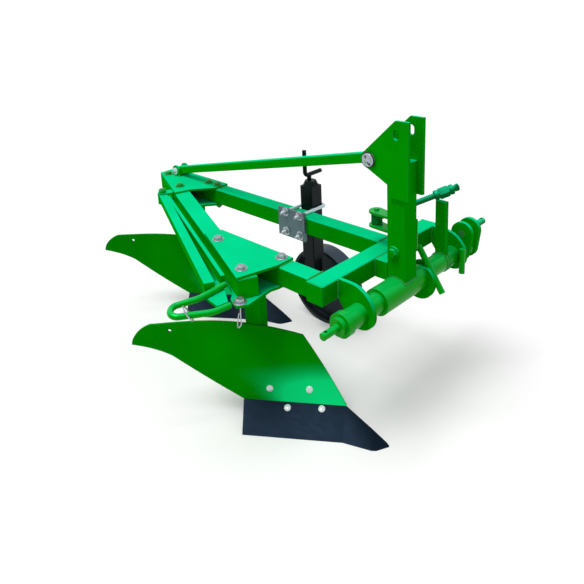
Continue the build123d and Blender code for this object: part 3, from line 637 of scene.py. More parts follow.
def finish_surface(tree, shader, colour, roughness, relief, distance, normal):
    """Joins colour, roughness and a bump of the relief, on top of a normal, to the shader."""
    tree.links.new(colour, shader.inputs["Base Color"])
    tree.links.new(roughness, shader.inputs["Roughness"])
    bump = add_node(tree, "ShaderNodeBump", (-250, -500), in_Strength=1.0, in_Distance=distance)
    tree.links.new(relief, bump.inputs["Height"])
    tree.links.new(normal, bump.inputs["Normal"])
    tree.links.new(bump.outputs["Normal"], shader.inputs["Normal"])


def scaled(colour, factor):
    """Colour made darker or brighter, with no channel above one."""
    return tuple(min(value * factor, 1.0) for value in colour)


# The green paint is slightly metallic and its shine is itself green, so that faces seen at a low
# angle don't turn pale
GREEN_METAL = 0.15
GREEN_SHINE = (0.02, 1.0, 0.12)


def painted(
    name, groups, base, sheen, worn, roughness, on_top, specular=0.0, tint=GREEN_SHINE, metallic=GREEN_METAL
):
    """Gloss paint: cloudy colour, a paler painted sheen on upward faces in place of the light on them,
    lighter rubbed edges and a fine orange peel.
    """
    finish, tree, shader = new_material(name, metallic=metallic, specular=specular, tint=tint)
    mottle = use_group(tree, groups["mottle"], (-1300, 200), Slow_Scale=5.0, Fast_Scale=160.0)
    edge = use_group(tree, groups["rubbed_edge"], (-1300, -150), Radius=0.0016, Breakup=45.0)
    top = use_group(tree, groups["sheen_on_top"], (-1300, -400), **on_top)
    slow = mottle.outputs["Slow"]
    cloud = mix_colour(tree, (-1000, 250), slow, scaled(base, 0.72), scaled(base, 1.22))
    # Painted sheen: the paler colour laid over the upward faces, in place of the light that falls on them
    sheened = mix_colour(tree, (-750, 200), top.outputs["Mask"], cloud, sheen)
    edge_share = math_node(tree, "MULTIPLY", (-900, -100), edge.outputs["Mask"], 0.55)
    colour = mix_colour(tree, (-500, 150), edge_share, sheened, worn)
    rough = math_node(tree, "MULTIPLY_ADD", (-700, -250), slow, 0.16, roughness - 0.08)
    finish_surface(tree, shader, colour, rough, mottle.outputs["Fast"], 0.00012, edge.outputs["Normal"])
    return finish


def plated(name, groups, colour, roughness=0.34, metallic=0.3):
    """Zinc plate: crystals of slightly different brightness, dull patches and bright edges."""
    finish, tree, shader = new_material(name, metallic=metallic)
    coords = add_node(tree, "ShaderNodeTexCoord", (-1300, 0))
    crystals = add_node(tree, "ShaderNodeTexVoronoi", (-1050, 100), in_Scale=420.0)
    tree.links.new(coords.outputs["Object"], crystals.inputs["Vector"])
    mottle = use_group(tree, groups["mottle"], (-1300, -250), Slow_Scale=22.0, Fast_Scale=300.0)
    edge = use_group(tree, groups["rubbed_edge"], (-1300, -500), Radius=0.0008, Breakup=120.0)
    slow = mottle.outputs["Slow"]
    grain = mix_colour(tree, (-800, 100), crystals.outputs["Color"], scaled(colour, 0.76), colour)
    clouded = mix_colour(tree, (-550, 100), slow, grain, colour)
    shade = mix_colour(tree, (-350, 100), edge.outputs["Mask"], clouded, scaled(colour, 1.35))
    rough = math_node(tree, "MULTIPLY_ADD", (-700, -250), slow, 0.22, roughness - 0.1)
    finish_surface(tree, shader, shade, rough, mottle.outputs["Fast"], 0.00008, edge.outputs["Normal"])
    return finish


def share_steel(name, groups, colour):
    """Dark oiled steel: rolling streaks along the cutting edge, slow clouds and pale worn edges."""
    finish, tree, shader = new_material(name, specular=0.14, tint=(0.35, 0.6, 1.0))
    coords = add_node(tree, "ShaderNodeTexCoord", (-1500, 100))
    turn = add_node(
        tree,
        "ShaderNodeMapping",
        (-1300, 100),
        in_Rotation=(0, 0, -EDGE_TURN),
        in_Scale=(8.0, 90.0, 140.0),
    )
    tree.links.new(coords.outputs["Object"], turn.inputs["Vector"])
    streaks = add_node(tree, "ShaderNodeTexNoise", (-1050, 100), in_Scale=1.0, in_Detail=5.0)
    tree.links.new(turn.outputs["Vector"], streaks.inputs["Vector"])
    streak = streaks.outputs["Fac"]
    mottle = use_group(tree, groups["mottle"], (-1300, -250), Slow_Scale=9.0, Fast_Scale=220.0)
    edge = use_group(tree, groups["rubbed_edge"], (-1300, -500), Radius=0.0012, Breakup=70.0)
    base = mix_colour(tree, (-800, 150), streak, scaled(colour, 0.6), scaled(colour, 1.35))
    clouded = mix_colour(tree, (-550, 150), mottle.outputs["Slow"], base, colour)
    edge_share = math_node(tree, "MULTIPLY", (-900, -450), edge.outputs["Mask"], 0.5)
    shade = mix_colour(tree, (-350, 150), edge_share, clouded, (0.16, 0.19, 0.23))
    rough = math_node(tree, "MULTIPLY_ADD", (-700, -250), streak, 0.25, 0.26)
    finish_surface(tree, shader, shade, rough, streak, 0.00010, edge.outputs["Normal"])
    return finish


def wheel_paint(name, groups, black):
    """Wheel rim: black flanks and inside, with a slate tread worn smooth where it rolls.

    The tread is where a point's distance from the axle, (x^2 + z^2)^0.5, nears the rim's radius.
    """
    finish, tree, shader = new_material(name, specular=0.25, tint=(0.6, 0.85, 1.0))
    low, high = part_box("wheel_rim")
    centre = (low + high) / 2
    radius = (high.x - low.x) / 2
    coords = add_node(tree, "ShaderNodeTexCoord", (-1700, 200))
    centred = add_node(tree, "ShaderNodeMapping", (-1500, 200), in_Location=tuple(-centre))
    tree.links.new(coords.outputs["Object"], centred.inputs["Vector"])
    split = add_node(tree, "ShaderNodeSeparateXYZ", (-1300, 200))
    tree.links.new(centred.outputs["Vector"], split.inputs[0])
    across_x = math_node(tree, "MULTIPLY", (-1100, 300), split.outputs["X"], split.outputs["X"])
    across_z = math_node(tree, "MULTIPLY", (-1100, 100), split.outputs["Z"], split.outputs["Z"])
    square = math_node(tree, "ADD", (-950, 200), across_x, across_z)
    reach = math_node(tree, "SQRT", (-800, 200), square)
    on_tread = add_node(
        tree,
        "ShaderNodeMapRange",
        (-650, 200),
        in_From_Min=radius - 0.002,
        in_From_Max=radius - 0.0004,
    )
    tree.links.new(reach, on_tread.inputs["Value"])
    mottle = use_group(tree, groups["mottle"], (-1300, -200), Slow_Scale=14.0, Fast_Scale=200.0)
    edge = use_group(tree, groups["rubbed_edge"], (-1300, -450), Radius=0.0016, Breakup=60.0)
    slow = mottle.outputs["Slow"]
    tread = mix_colour(tree, (-650, -50), slow, (0.030, 0.045, 0.070), (0.085, 0.115, 0.155))
    cloud = mix_colour(tree, (-650, -250), slow, black, (0.022, 0.026, 0.032))
    body = mix_colour(tree, (-450, 50), on_tread.outputs["Result"], cloud, tread)
    shade = mix_colour(tree, (-250, 50), edge.outputs["Mask"], body, (0.10, 0.13, 0.16))
    rough = math_node(tree, "MULTIPLY_ADD", (-650, -450), slow, 0.3, 0.25)
    finish_surface(tree, shader, shade, rough, mottle.outputs["Fast"], 0.00014, edge.outputs["Normal"])
    return finish


def build_finishes(finish):
    """All the materials by name, made once."""
    groups = {
        "mottle": build_mottle(),
        "rubbed_edge": build_rubbed_edge(),
        "sheen_on_top": build_sheen_on_top(),
    }
    green = tuple(finish.green)
    sheen = tuple(finish.green_sheen)
    worn = tuple(finish.primer)
    gloss = finish.paint_roughness
    black = tuple(finish.black)
    # Where the painted sheen lies: on upward faces, on the upper side of round bars, and low on the
    # mouldboards
    on_top = {"Amount": 0.95, "Scale": 4.0}
    on_bar = {"Amount": 0.8, "Scale": 4.0, "Steep": 0.3}
    on_board = {"Amount": 1.7, "Scale": 3.0, "Steep": 0.05, "Level": 0.42, "Fade_Height": 0.170}

    # Each paint: colour, colour of its painted sheen, worn edge, roughness, where the painted sheen lies,
    # and the shine's settings
    paints = {
        "green_paint": (green, sheen, worn, gloss, on_top),
        # The mouldboards' paint is the frame's green darkened as painted shade, with a paler painted sheen
        # along their lower part
        "board_paint": (scaled(green, 0.86), (0.004, 0.86, 0.24), worn, gloss - 0.02, on_board),
        "pin_paint": ((0.05, 0.30, 0.08), sheen, (0.45, 0.5, 0.45), 0.34, on_top),
        # Round bars carry a greener painted highlight on their upper side
        "bar_paint": (green, (0.004, 0.60, 0.11), worn, 0.27, on_bar, 0.35),
        "screw_paint": ((0.004, 0.19, 0.035), (0.01, 0.56, 0.30), worn, 0.45, on_top),
        "black_paint": (
            black,
            (0.012, 0.018, 0.018),
            (0.05, 0.06, 0.07),
            0.34,
            on_top,
            0.14,
            (0.7, 0.9, 1.0),
            0.0,
        ),
    }
    finishes = {name: painted(name, groups, *values) for name, values in paints.items()}
    finishes["share_steel"] = share_steel("share_steel", groups, tuple(finish.share))
    finishes["wheel_paint"] = wheel_paint("wheel_paint", groups, black)
    finishes["zinc"] = plated("zinc", groups, tuple(finish.zinc))
    finishes["bright_zinc"] = plated("bright_zinc", groups, (0.86, 0.95, 0.98), 0.30, metallic=0.2)
    finishes["plate_zinc"] = plated("plate_zinc", groups, tuple(finish.plate), 0.42)
    return finishes


# Pieces that aren't in the plain green paint
NODE_FINISH = {
    "mouldboards": "board_paint",
    "shares": "share_steel",
    "landsides": "share_steel",
    "wheel_clamp_plate": "plate_zinc",
    "wheel_u_bolts": "zinc",
    "stay_front_pin": "zinc",
    "rear_stay_pin": "zinc",
    "cross_shaft_tube": "bar_paint",
    "mast_sleeve": "bar_paint",
    "keeper_bars": "bar_paint",
    "tow_loop": "bar_paint",
    "wheel_outer_tube": "black_paint",
    "wheel_tube_cap": "black_paint",
    "depth_crank": "black_paint",
    "depth_leg": "black_paint",
    "wheel_rim": "wheel_paint",
    "wheel_disc": "wheel_paint",
    "right_lower_pin": "bar_paint",
    "left_lower_pin": "pin_paint",
}


def material(name):
    """Finish that has already been made."""
    if name not in bpy.data.materials:
        raise RuntimeError(f"the finish {name} isn't made yet: run Paint first")
    return bpy.data.materials[name]


class PLOUGH_OT_paint(bpy.types.Operator):
    """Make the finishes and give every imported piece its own"""

    bl_idname = "plough.paint"
    bl_label = "Paint the pieces"

    def execute(self, context):
        finishes = build_finishes(context.scene.plough_finish)
        for name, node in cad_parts.items():
            chosen = finishes[NODE_FINISH.get(name, "green_paint")]
            node.data.materials.clear()
            node.data.materials.append(chosen)
        return {"FINISHED"}


# Gusset bolts in plan, with their finish, and the bolt of the shaft's lock
GUSSET_BOLTS = (
    ("gusset", [(-452, -256), (-239, -344), (-202, -221)], "zinc"),
    ("rear_gusset", [(-926, 79), (-874, 82), (-1159, 45), (-986, -20)], "green_paint"),
)
GUSSET_STUD = 0.006
LOCK_BOLT = (-196, -393, 430)


class PLOUGH_OT_gusset_bolts(bpy.types.Operator):
    """Bolt the gusset plates: heads on washers above, nuts on threaded ends below"""

    bl_idname = "plough.gusset_bolts"
    bl_label = "Gusset bolts"

    def execute(self, context):
        flats = context.scene.plough_hardware.bolt_flats
        for name, places, finish in GUSSET_BOLTS:
            heads = []
            nuts = []
            for index, (x, y) in enumerate(places):
                above = (*plan(x, y, 0)[:2], GUSSET_TOP)
                below = (*plan(x, y, 0)[:2], GUSSET_BOTTOM)
                heads += bolt(above, UP, flats, 0.4 * index)
                nuts += nut_on_stud(below, -UP, flats, GUSSET_STUD, 0.7 * index)
            add_piece(f"{name}_bolt_heads", heads, finish, "frame")
            add_piece(f"{name}_bolt_nuts", nuts, finish, "frame")
        lock = bolt(plan(*LOCK_BOLT), UP, flats * 1.05, 0.3)
        add_piece("lock_bolt", lock, "zinc", "frame")
        return {"FINISHED"}


# Radius of the U-bolts' rod, and the thread that stands out past the nuts
U_BOLT_ROD = 0.006
CLAMP_STUD = 0.013


class PLOUGH_OT_clamp_nuts(bpy.types.Operator):
    """Nuts and threaded ends of the two U-bolts on the wheel clamp's plate"""

    bl_idname = "plough.clamp_nuts"
    bl_label = "Wheel clamp nuts"

    def execute(self, context):
        flats = context.scene.plough_hardware.nut_flats
        low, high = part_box("wheel_u_bolts")
        levels = (low.z + U_BOLT_ROD, high.z - U_BOLT_ROD)
        sides = (low.x + U_BOLT_ROD, high.x - U_BOLT_ROD)
        parts = []
        for index, (z, x) in enumerate((z, x) for z in levels for x in sides):
            parts += nut_on_stud((x, CLAMP_FACE, z), -LEFT, flats, CLAMP_STUD, 0.5 * index)
        add_piece("clamp_nuts", parts, "zinc", "frame")
        return {"FINISHED"}


# Bolts of each plough body: back along the cutting edge and up, in millimetres. The ray that
# finds the surface starts this far in front of the edge.
BODY_BOLTS = (("mouldboards", [(359, 91), (239, 89)]), ("shares", [(303, 44), (200, 46)]))
BEFORE_EDGE = -250


class PLOUGH_OT_body_bolts(bpy.types.Operator):
    """Domed plough bolts in the shares and mouldboards, square to the surface they hold"""

    bl_idname = "plough.body_bolts"
    bl_label = "Share and mouldboard bolts"

    def execute(self, context):
        radius = context.scene.plough_hardware.head_radius
        parts = []
        for body in (0, 1):
            for node, places in BODY_BOLTS:
                for along, height in places:
                    start = beside_edge(along, BEFORE_EDGE, height, body)
                    point, outward = on_surface(node, start, EDGE_SIDE)
                    parts.append(plough_bolt(point, outward, radius))
        add_piece("body_bolts", parts, "bright_zinc", "frame")
        return {"FINISHED"}


def square_loop(x, right, left, low, high):
    """Corners round an upright square face that looks along X."""
    return [(x, right, high), (x, left, high), (x, left, low), (x, right, low), (x, right, high)]


def level_loop(rear, front, right, left, z):
    """Corners round a level rectangle."""
    return [(rear, right, z), (front, right, z), (front, left, z), (rear, left, z), (rear, right, z)]


# Weld runs that ride on the frame, in plan millimetres
FRAME_WELDS = [
    # The two beams on the crossbeam's rear face
    square_loop(-60, 58, 118, 430, 490),
    square_loop(-60, -259, -199, 430, 490),
    # The bearing plates, one bead on each side of a plate
    *([(0, y, 432), (0, y, 488)] for y in (-205, -193, 262, 274)),
    # The mast with its bracket
    [(0, -40, 434), (0, -40, 486), (0, 20, 486), (0, 20, 434)],
    [(103, -40, 439), (103, 20, 439)],
    [(43, -40, 488), (43, 20, 488)],
    [(57, -40, 692), (101, -40, 692)],
    [(57, 20, 692), (101, 20, 692)],
    [(57, -40, 726), (57, -40, 694)],
    # The shanks under the gussets
    level_loop(-344, -274, -258, -228, 422),
    level_loop(-1016, -946, 34, 64, 422),
    # The stay's rear ears on the rear gusset
    *([(-1139, y, 498), (-1091, y, 498)] for y in (54, 98)),
    # Edges of the gussets on the beams
    [(-506, -199, 490), (-259, -199, 490)],
    [(-855, 62, 490), (-855, 114, 490)],
    [(-176, -203, 490), (-176, -255, 490)],
]

# Half the mast's depth over the sleeve's radius, which gives where the sleeve leaves the mast
MAST_ON_SLEEVE = 30 / 40

# Thickness of the left pin's inner crank plate, half the wheel disc's, and its hub's radius
CRANK_PLATE = 0.012
DISC_HALF = 0.003
HUB_RADIUS = 0.026


class PLOUGH_OT_welds(bpy.types.Operator):
    """Rippled weld beads where the frame, mast, hitch and wheel are joined"""

    bl_idname = "plough.welds"
    bl_label = "Weld beads"

    def execute(self, context):
        size = context.scene.plough_hardware.weld_size
        shaft = middle_of("cross_shaft_tube")
        shaft_low, shaft_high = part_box("cross_shaft_tube")
        sleeve_low, sleeve_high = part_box("mast_sleeve")
        frame_parts = []
        for run in FRAME_WELDS:
            frame_parts += weld([plan(*corner) for corner in run], size)
        radius = (sleeve_high.z - sleeve_low.z) / 2
        half_angle = math.asin(MAST_ON_SLEEVE)
        start = math.pi / 2 - half_angle
        for y in (mast_low.y, mast_high.y):
            arc = weld_round((shaft[0], y, shaft[2]), radius, size, start, 2 * half_angle)
            frame_parts.append(arc)
        add_piece("frame_welds", frame_parts, "green_paint", "frame")

        crank_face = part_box("left_crank_plates")[0].y
        lever_low, lever_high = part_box("lever_arm")
        radius = (shaft_high.z - shaft_low.z) / 2
        faces = (crank_face, crank_face + CRANK_PLATE, lever_low.y, lever_high.y, shaft_low.y)
        shaft_parts = [weld_round((shaft[0], y, shaft[2]), radius, size) for y in faces]
        add_piece("shaft_welds", shaft_parts, "green_paint", "cross_shaft")

        x, y, z = middle_of("wheel_disc")
        disc_low, disc_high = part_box("wheel_disc")
        faces = (y - DISC_HALF, y + DISC_HALF)
        radii = ((disc_high.x - disc_low.x) / 2, HUB_RADIUS)
        wheel_parts = [weld_round((x, face, z), radius, size) for face in faces for radius in radii]
        add_piece("wheel_welds", wheel_parts, "wheel_paint", "depth_wheel")
        return {"FINISHED"}


# Adjusting screw: its pin and the nut's middle in plan millimetres, and its sizes in metres
SCREW_PIN = (-60, 50, 571)
SCREW_NUT = (78, 200, 640)
SCREW_EYE = 0.017
SCREW_BORE = 0.00805
SCREW_EYE_HEIGHT = 0.035
SCREW_SHANK = 0.045
SCREW_ROD = 0.0098
SCREW_SHANK_ROD = SCREW_ROD * 0.94
SCREW_PITCH = 0.005
SCREW_LAP = 0.004
NUT_HALF = 0.030
NUT_RADIUS = 0.018

# Clevis of the screw: its level plates' thickness, undersides beside the pin's middle, round end,
# and where they meet the mast, then the wall plate and the pin
CLEVIS_PLATE = 0.008
CLEVIS_LEVELS = (-0.026, 0.018)
CLEVIS_ROUND = 0.024
CLEVIS_SETBACK = 0.008
CLEVIS_FLARE = 0.016
WALL_PLATE = 0.006
WALL_HALF = 0.045
PIN_HALF = 0.032
PIN_RADIUS = 0.008
PIN_EDGE = 0.001

# The screw's flattened end: its length, how deep it starts in the nut, and its half sizes
TIP_LENGTH = 0.022
TIP_LAP = 0.003
TIP_WIDE = 0.0125
TIP_THIN = 0.0045


def mirrored(lower):
    """Profile of a piece that is the same at both ends, from the rows of its lower half."""
    return lower + [(-height, radius, share) for height, radius, share in reversed(lower)]


def screw_eye(centre, outside, bore, height):
    """Short tube about the bracket's pin, with its outer corners rounded off."""
    half = height / 2
    edge = 0.0025
    lower = [(-half, bore, 0), (-half, outside - edge, 0), (-half + edge, outside, 0)]
    return turned(mirrored(lower), centre, UP, bored=True)


def screw_nut(centre, axis, half, outside):
    """Nut of the screw: a hexagon between two round collars, each with a groove beside it."""
    flats = outside * math.cos(math.pi / 6)
    collar, groove = outside * 0.88, outside * 0.76
    lower = [
        (-half, outside * 0.60, 0),
        (-half, outside * 0.80, 0),
        (-half + 0.002, collar, 0),
        (-half + 0.010, collar, 0),
        (-half + 0.011, groove, 0),
        (-half + 0.014, groove, 0),
        (-half + 0.0145, flats * 0.96, 0.5),
        (-half + 0.017, flats, 1),
    ]
    return turned(mirrored(lower), centre, axis, twist=0.35)


def flattened_end(origin, axis, radius, length, wide, thin):
    """Hammered end of the screw: an ellipse that widens to its tip while it thins.

    r(h, a) = 1 / sqrt((cos a / p)^2 + (sin a / q)^2), where p goes from the radius to the wide
    half and q from the radius to the thin half on a smooth step of h.
    """
    share = np.linspace(0, 1, 22)[:, None]
    step = np.clip(share / 0.7, 0, 1)
    step = step * step * (3 - 2 * step)
    angle = np.linspace(0, FULL_TURN, THREAD_AROUND, endpoint=False)[None, :]
    rounding = np.sqrt(1 - np.clip((share - 0.82) / 0.19, 0, 0.98) ** 2)
    long_half = (radius + (wide - radius) * step) * rounding
    short_half = radius + (thin - radius) * step
    size = 1 / np.sqrt((np.cos(angle) / long_half) ** 2 + (np.sin(angle) / short_half) ** 2)
    path = np.asarray(origin) + share * length * unit(axis)
    return rod(path, size, axes_about(axis)[1], THREAD_AROUND)


def screw_bracket(pin):
    """Clevis of the screw: two level plates from the mast's side round the pin, wall plate and pin."""
    wall_face, front = mast_high.y, mast_high.x
    turn = np.linspace(math.pi / 2, 3 * math.pi / 2, 19)
    rounded = pin[:2] + CLEVIS_ROUND * np.stack([np.cos(turn), np.sin(turn)], 1)
    corner = np.array([front - CLEVIS_SETBACK, wall_face])
    outline = np.concatenate([rounded, [corner, corner + (0.0, CLEVIS_FLARE)]])
    parts = []
    for step in CLEVIS_LEVELS:
        flat = np.column_stack([outline, np.full(len(outline), pin[2] + step)])
        parts.append(flat_plate(flat, CLEVIS_PLATE * UP))
    low, high = pin[2] - WALL_HALF, pin[2] + WALL_HALF
    upright = [(mast_low.x, high), (front, high), (front, low), (mast_low.x, low)]
    parts.append(flat_plate([(x, wall_face, z) for x, z in upright], WALL_PLATE * LEFT))
    lower = [(-PIN_HALF, PIN_RADIUS - PIN_EDGE, 0), (-PIN_HALF + PIN_EDGE, PIN_RADIUS, 0)]
    parts.append(turned(mirrored(lower), pin, UP))
    return parts


class PLOUGH_OT_screw(bpy.types.Operator):
    """Adjusting screw in full: eye on the bracket's pin, thread, nut over the lever and flattened end"""

    bl_idname = "plough.screw"
    bl_label = "Adjusting screw"

    def execute(self, context):
        start = plan(*SCREW_PIN)
        nut = plan(*SCREW_NUT)
        way = unit(nut - start)
        shank = start + SCREW_EYE * 0.8 * way
        first = start + SCREW_SHANK * way
        tip = nut + (NUT_HALF - TIP_LAP) * way
        thread_length = np.linalg.norm(nut - first) - NUT_HALF + SCREW_LAP
        bar = np.linspace(shank, first + SCREW_LAP * way, 4)
        parts = [
            screw_eye(start, SCREW_EYE, SCREW_BORE, SCREW_EYE_HEIGHT),
            rod(bar, SCREW_SHANK_ROD, UP, THREAD_AROUND),
            threaded_end(first, way, SCREW_ROD, thread_length, pitch=SCREW_PITCH),
            screw_nut(nut, way, NUT_HALF, NUT_RADIUS),
            flattened_end(tip, way, SCREW_SHANK_ROD, TIP_LENGTH, TIP_WIDE, TIP_THIN),
        ]
        screw = add_piece("screw_and_nut", parts, "screw_paint", "adjusting_screw")
        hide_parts("adjusting_screw")
        holder = add_piece("screw_clevis", screw_bracket(start), "bar_paint", "frame")
        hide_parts("screw_bracket")
        return {"FINISHED"}


# Heads are let into what they sit on by this much, so that no gap shows. Head of the arm's pivot
# bolt and nut of the wheel's axle: size across flats, height and twist.
SEATING = 0.0005
ARM_HEAD = (0.022, 0.006, 0.4)
AXLE_NUT = (0.030, 0.008, 0.2)

# The stay's front pin: thickness of its two washers, radii of the head plate, the head and the
# nose washer, and how far inside the pin's end the nose washer lies
PIN_WASHER = 0.003
HEAD_PLATE = 0.0195
PIN_HEAD = 0.0115
NOSE_WASHER = 0.016
NOSE_INSIDE = 0.009

# Black ring round the head plate and the cotter across the head: radii of the ring and of the two
# wires, how far out each lies, and then the radius of the rear pin's head
RING_RADIUS = 0.0208
RING_WIRE = 0.0021
RING_OUT = 0.0002
COTTER_WIRE = 0.0017
COTTER_OUT = 0.0052
REAR_HEAD = 0.009

# Cotter across the front pin's head, as steps from the head's middle
COTTER = np.array([(-0.0075, 0, 0.012), (-0.003, 0, 0.005), (0.003, 0, -0.005), (0.0085, 0, -0.0135)])

# Spring clip of the rear pin: how far inside the pin's end it lies, and its steps along X and Z
CLIP_INSIDE = 0.006
REAR_CLIP = [(0, 0.018), (0, -0.018), (0.006, -0.030), (0.016, -0.022), (0.011, -0.004), (0.014, 0.014)]

# Bail that hangs on the tow loop: its middle in plan, and the two directions and half sizes it spans
BAIL_MIDDLE = (-226, -545, 452)
BAIL_SIDE = (0.832, -0.555, 0.0)
BAIL_DOWN = (0.35, 0.45, -1.0)
BAIL_HALF_WIDTH = 0.017
BAIL_HALF_DROP = 0.023

# Clip that hangs under the lock bolt, in plan
LOCK_CLIP = [
    (-188, -399, 421),
    (-188, -401, 398),
    (-183, -405, 372),
    (-190, -411, 362),
    (-198, -405, 372),
    (-195, -400, 400),
]


class PLOUGH_OT_pins(bpy.types.Operator):
    """Heads, washers, nuts and spring clips of the pins and of the towing arm's lock"""

    bl_idname = "plough.pins"
    bl_label = "Pins and spring clips"

    def execute(self, context):
        wire = context.scene.plough_hardware.wire_radius
        low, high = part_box("stay_front_pin")
        x, _, z = middle_of("stay_front_pin")
        front_pin = [
            washer((x, low.y, z), -LEFT, HEAD_PLATE, PIN_WASHER),
            plough_bolt((x, low.y - PIN_WASHER, z), -LEFT, PIN_HEAD),
            washer((x, high.y - NOSE_INSIDE, z), LEFT, NOSE_WASHER, PIN_WASHER),
        ]
        add_piece("stay_pin_head", front_pin, "zinc", "frame")
        dark = [
            ring((x, low.y - RING_OUT, z), LEFT, RING_RADIUS, RING_WIRE),
            rod((x, low.y - COTTER_OUT, z) + COTTER, COTTER_WIRE, LEFT),
        ]
        add_piece("stay_pin_ring", dark, "black_paint", "frame")

        low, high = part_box("rear_stay_pin")
        x, _, z = middle_of("rear_stay_pin")
        clip = [(x + along, high.y - CLIP_INSIDE, z + up) for along, up in REAR_CLIP]
        rear_pin = [plough_bolt((x, low.y, z), -LEFT, REAR_HEAD), bent_wire(clip, wire, LEFT)]
        add_piece("rear_pin_clip", rear_pin, "zinc", "frame")

        turn = np.linspace(0, FULL_TURN, 48, endpoint=False)[:, None]
        side, down = unit(BAIL_SIDE), unit(BAIL_DOWN)
        bail = BAIL_HALF_WIDTH * np.cos(turn) * side + BAIL_HALF_DROP * np.sin(turn) * down
        loop = rod(plan(*BAIL_MIDDLE) + bail, wire, np.cross(side, down), closed_path=True)
        add_piece("loop_bail", [loop], "zinc", "towing_arm")
        drop = bent_wire([plan(*point) for point in LOCK_CLIP], wire * 0.8, (1, 0, 0))
        add_piece("lock_clip", [drop], "zinc", "frame")

        x, y, _ = middle_of("arm_pivot_bolt")
        arm_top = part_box("arm_pivot_bolt")[1].z
        pivot = hex_head((x, y, arm_top - SEATING), UP, *ARM_HEAD)
        add_piece("arm_pivot_head", [pivot], "green_paint", "frame")
        x, _, z = middle_of("wheel_disc")
        leg_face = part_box("depth_leg")[1].y
        axle_nut = hex_head((x, leg_face - SEATING, z), LEFT, *AXLE_NUT)
        add_piece("axle_nut", [axle_nut], "zinc", "depth_leg")
        return {"FINISHED"}


# Studio: the floor's reach in metres, the light that it throws back, the room that gloss shows,
# and where the soft key light comes from and how wide it spreads
FLOOR_REACH = 60.0
FLOOR_BOUNCE = (0.42, 0.42, 0.42)
GLOSSY_ROOM = 0.8
SUN_FROM = (-0.10, -0.34, 1.0)
SUN_SPREAD = math.radians(34)

# The photograph's camera, in plan millimetres, degrees and pixels of a 584 pixel frame
CAMERA_PLACE = (1021.51, -1367.83, 1296.90)
CAMERA_YAW = 135.27
CAMERA_PITCH = -15.42
CAMERA_ROLL = -2.80
FOCAL_PIXELS = 625.58
PHOTO_SIDE = 584.0
CAMERA_SHIFT_Y = -0.25
SENSOR_WIDTH = 36.0
CLIP_END = 200.0


def build_floor(centre, colour, lift):
    """Pale floor: P(r, a) = centre + r (cos a, sin a), with rings that widen outwards."""
    radius = FLOOR_REACH * np.linspace(0.02, 1, 40) ** 2.5
    circle, _ = circle_about(UP, np.linspace(0, FULL_TURN, 96, endpoint=False))
    points, quads, fans = closed_grid(np.asarray(centre) + radius[:, None, None] * circle)
    inner_fan = fans[: len(fans) // 2]
    mesh = bpy.data.meshes.new("studio_floor")
    mesh.from_pydata(points[:-1].tolist(), [], quads.tolist() + inner_fan.tolist())
    mesh.flip_normals()
    floor = bpy.data.objects.new("studio_floor", mesh)
    bpy.context.scene.collection.objects.link(floor)
    paint = bpy.data.materials.new("studio_floor")
    paint.use_nodes = True
    tree = paint.node_tree
    tree.nodes.remove(tree.nodes["Principled BSDF"])
    output = tree.nodes["Material Output"]
    ray = add_node(tree, "ShaderNodeLightPath", (-600, 300)).outputs
    diffuse = add_node(tree, "ShaderNodeBsdfDiffuse", (-400, 0))
    shown = mix_colour(tree, (-620, 0), ray["Is Diffuse Ray"], colour, FLOOR_BOUNCE)
    tree.links.new(shown, diffuse.inputs["Color"])
    glow = add_node(tree, "ShaderNodeEmission", (-400, -200))
    seen = math_node(tree, "MAXIMUM", (-400, 300), ray["Is Camera Ray"], ray["Is Glossy Ray"])
    strength = math_node(tree, "MULTIPLY", (-400, 150), seen, lift)
    tree.links.new(strength, glow.inputs["Strength"])
    both = add_node(tree, "ShaderNodeAddShader", (-150, 0))
    tree.links.new(diffuse.outputs[0], both.inputs[0])
    tree.links.new(glow.outputs[0], both.inputs[1])
    tree.links.new(both.outputs[0], output.inputs["Surface"])
    mesh.materials.append(paint)


def build_world(room_light):
    """World of even light, seen as plain white by the camera and as a pale room by glossy surfaces."""
    world = bpy.data.worlds.new("studio_room")
    bpy.context.scene.world = world
    world.use_nodes = True
    tree = world.node_tree
    back = tree.nodes["Background"]
    ray = add_node(tree, "ShaderNodeLightPath", (-900, 300)).outputs
    seen = math_node(tree, "MAXIMUM", (-650, 300), ray["Is Camera Ray"], ray["Is Transmission Ray"])
    glossy = math_node(tree, "MULTIPLY", (-650, 100), ray["Is Glossy Ray"], GLOSSY_ROOM - room_light)
    base = math_node(tree, "ADD", (-450, 100), glossy, room_light)
    strength = math_node(tree, "MAXIMUM", (-250, 200), base, seen)
    tree.links.new(strength, back.inputs["Strength"])
    back.inputs["Color"].default_value = (1, 1, 1, 1)


def camera_axes(yaw, pitch, roll):
    """Right, up and back directions of a camera that is turned, tilted and rolled."""
    yaw, pitch, roll = (math.radians(angle) for angle in (yaw, pitch, roll))
    ahead = np.array([math.cos(pitch) * math.cos(yaw), math.cos(pitch) * math.sin(yaw), math.sin(pitch)])
    right = unit(np.cross(ahead, UP))
    up = np.cross(right, ahead)
    rolled_right = math.cos(roll) * right + math.sin(roll) * up
    rolled_up = math.cos(roll) * up - math.sin(roll) * right
    return rolled_right, rolled_up, -ahead


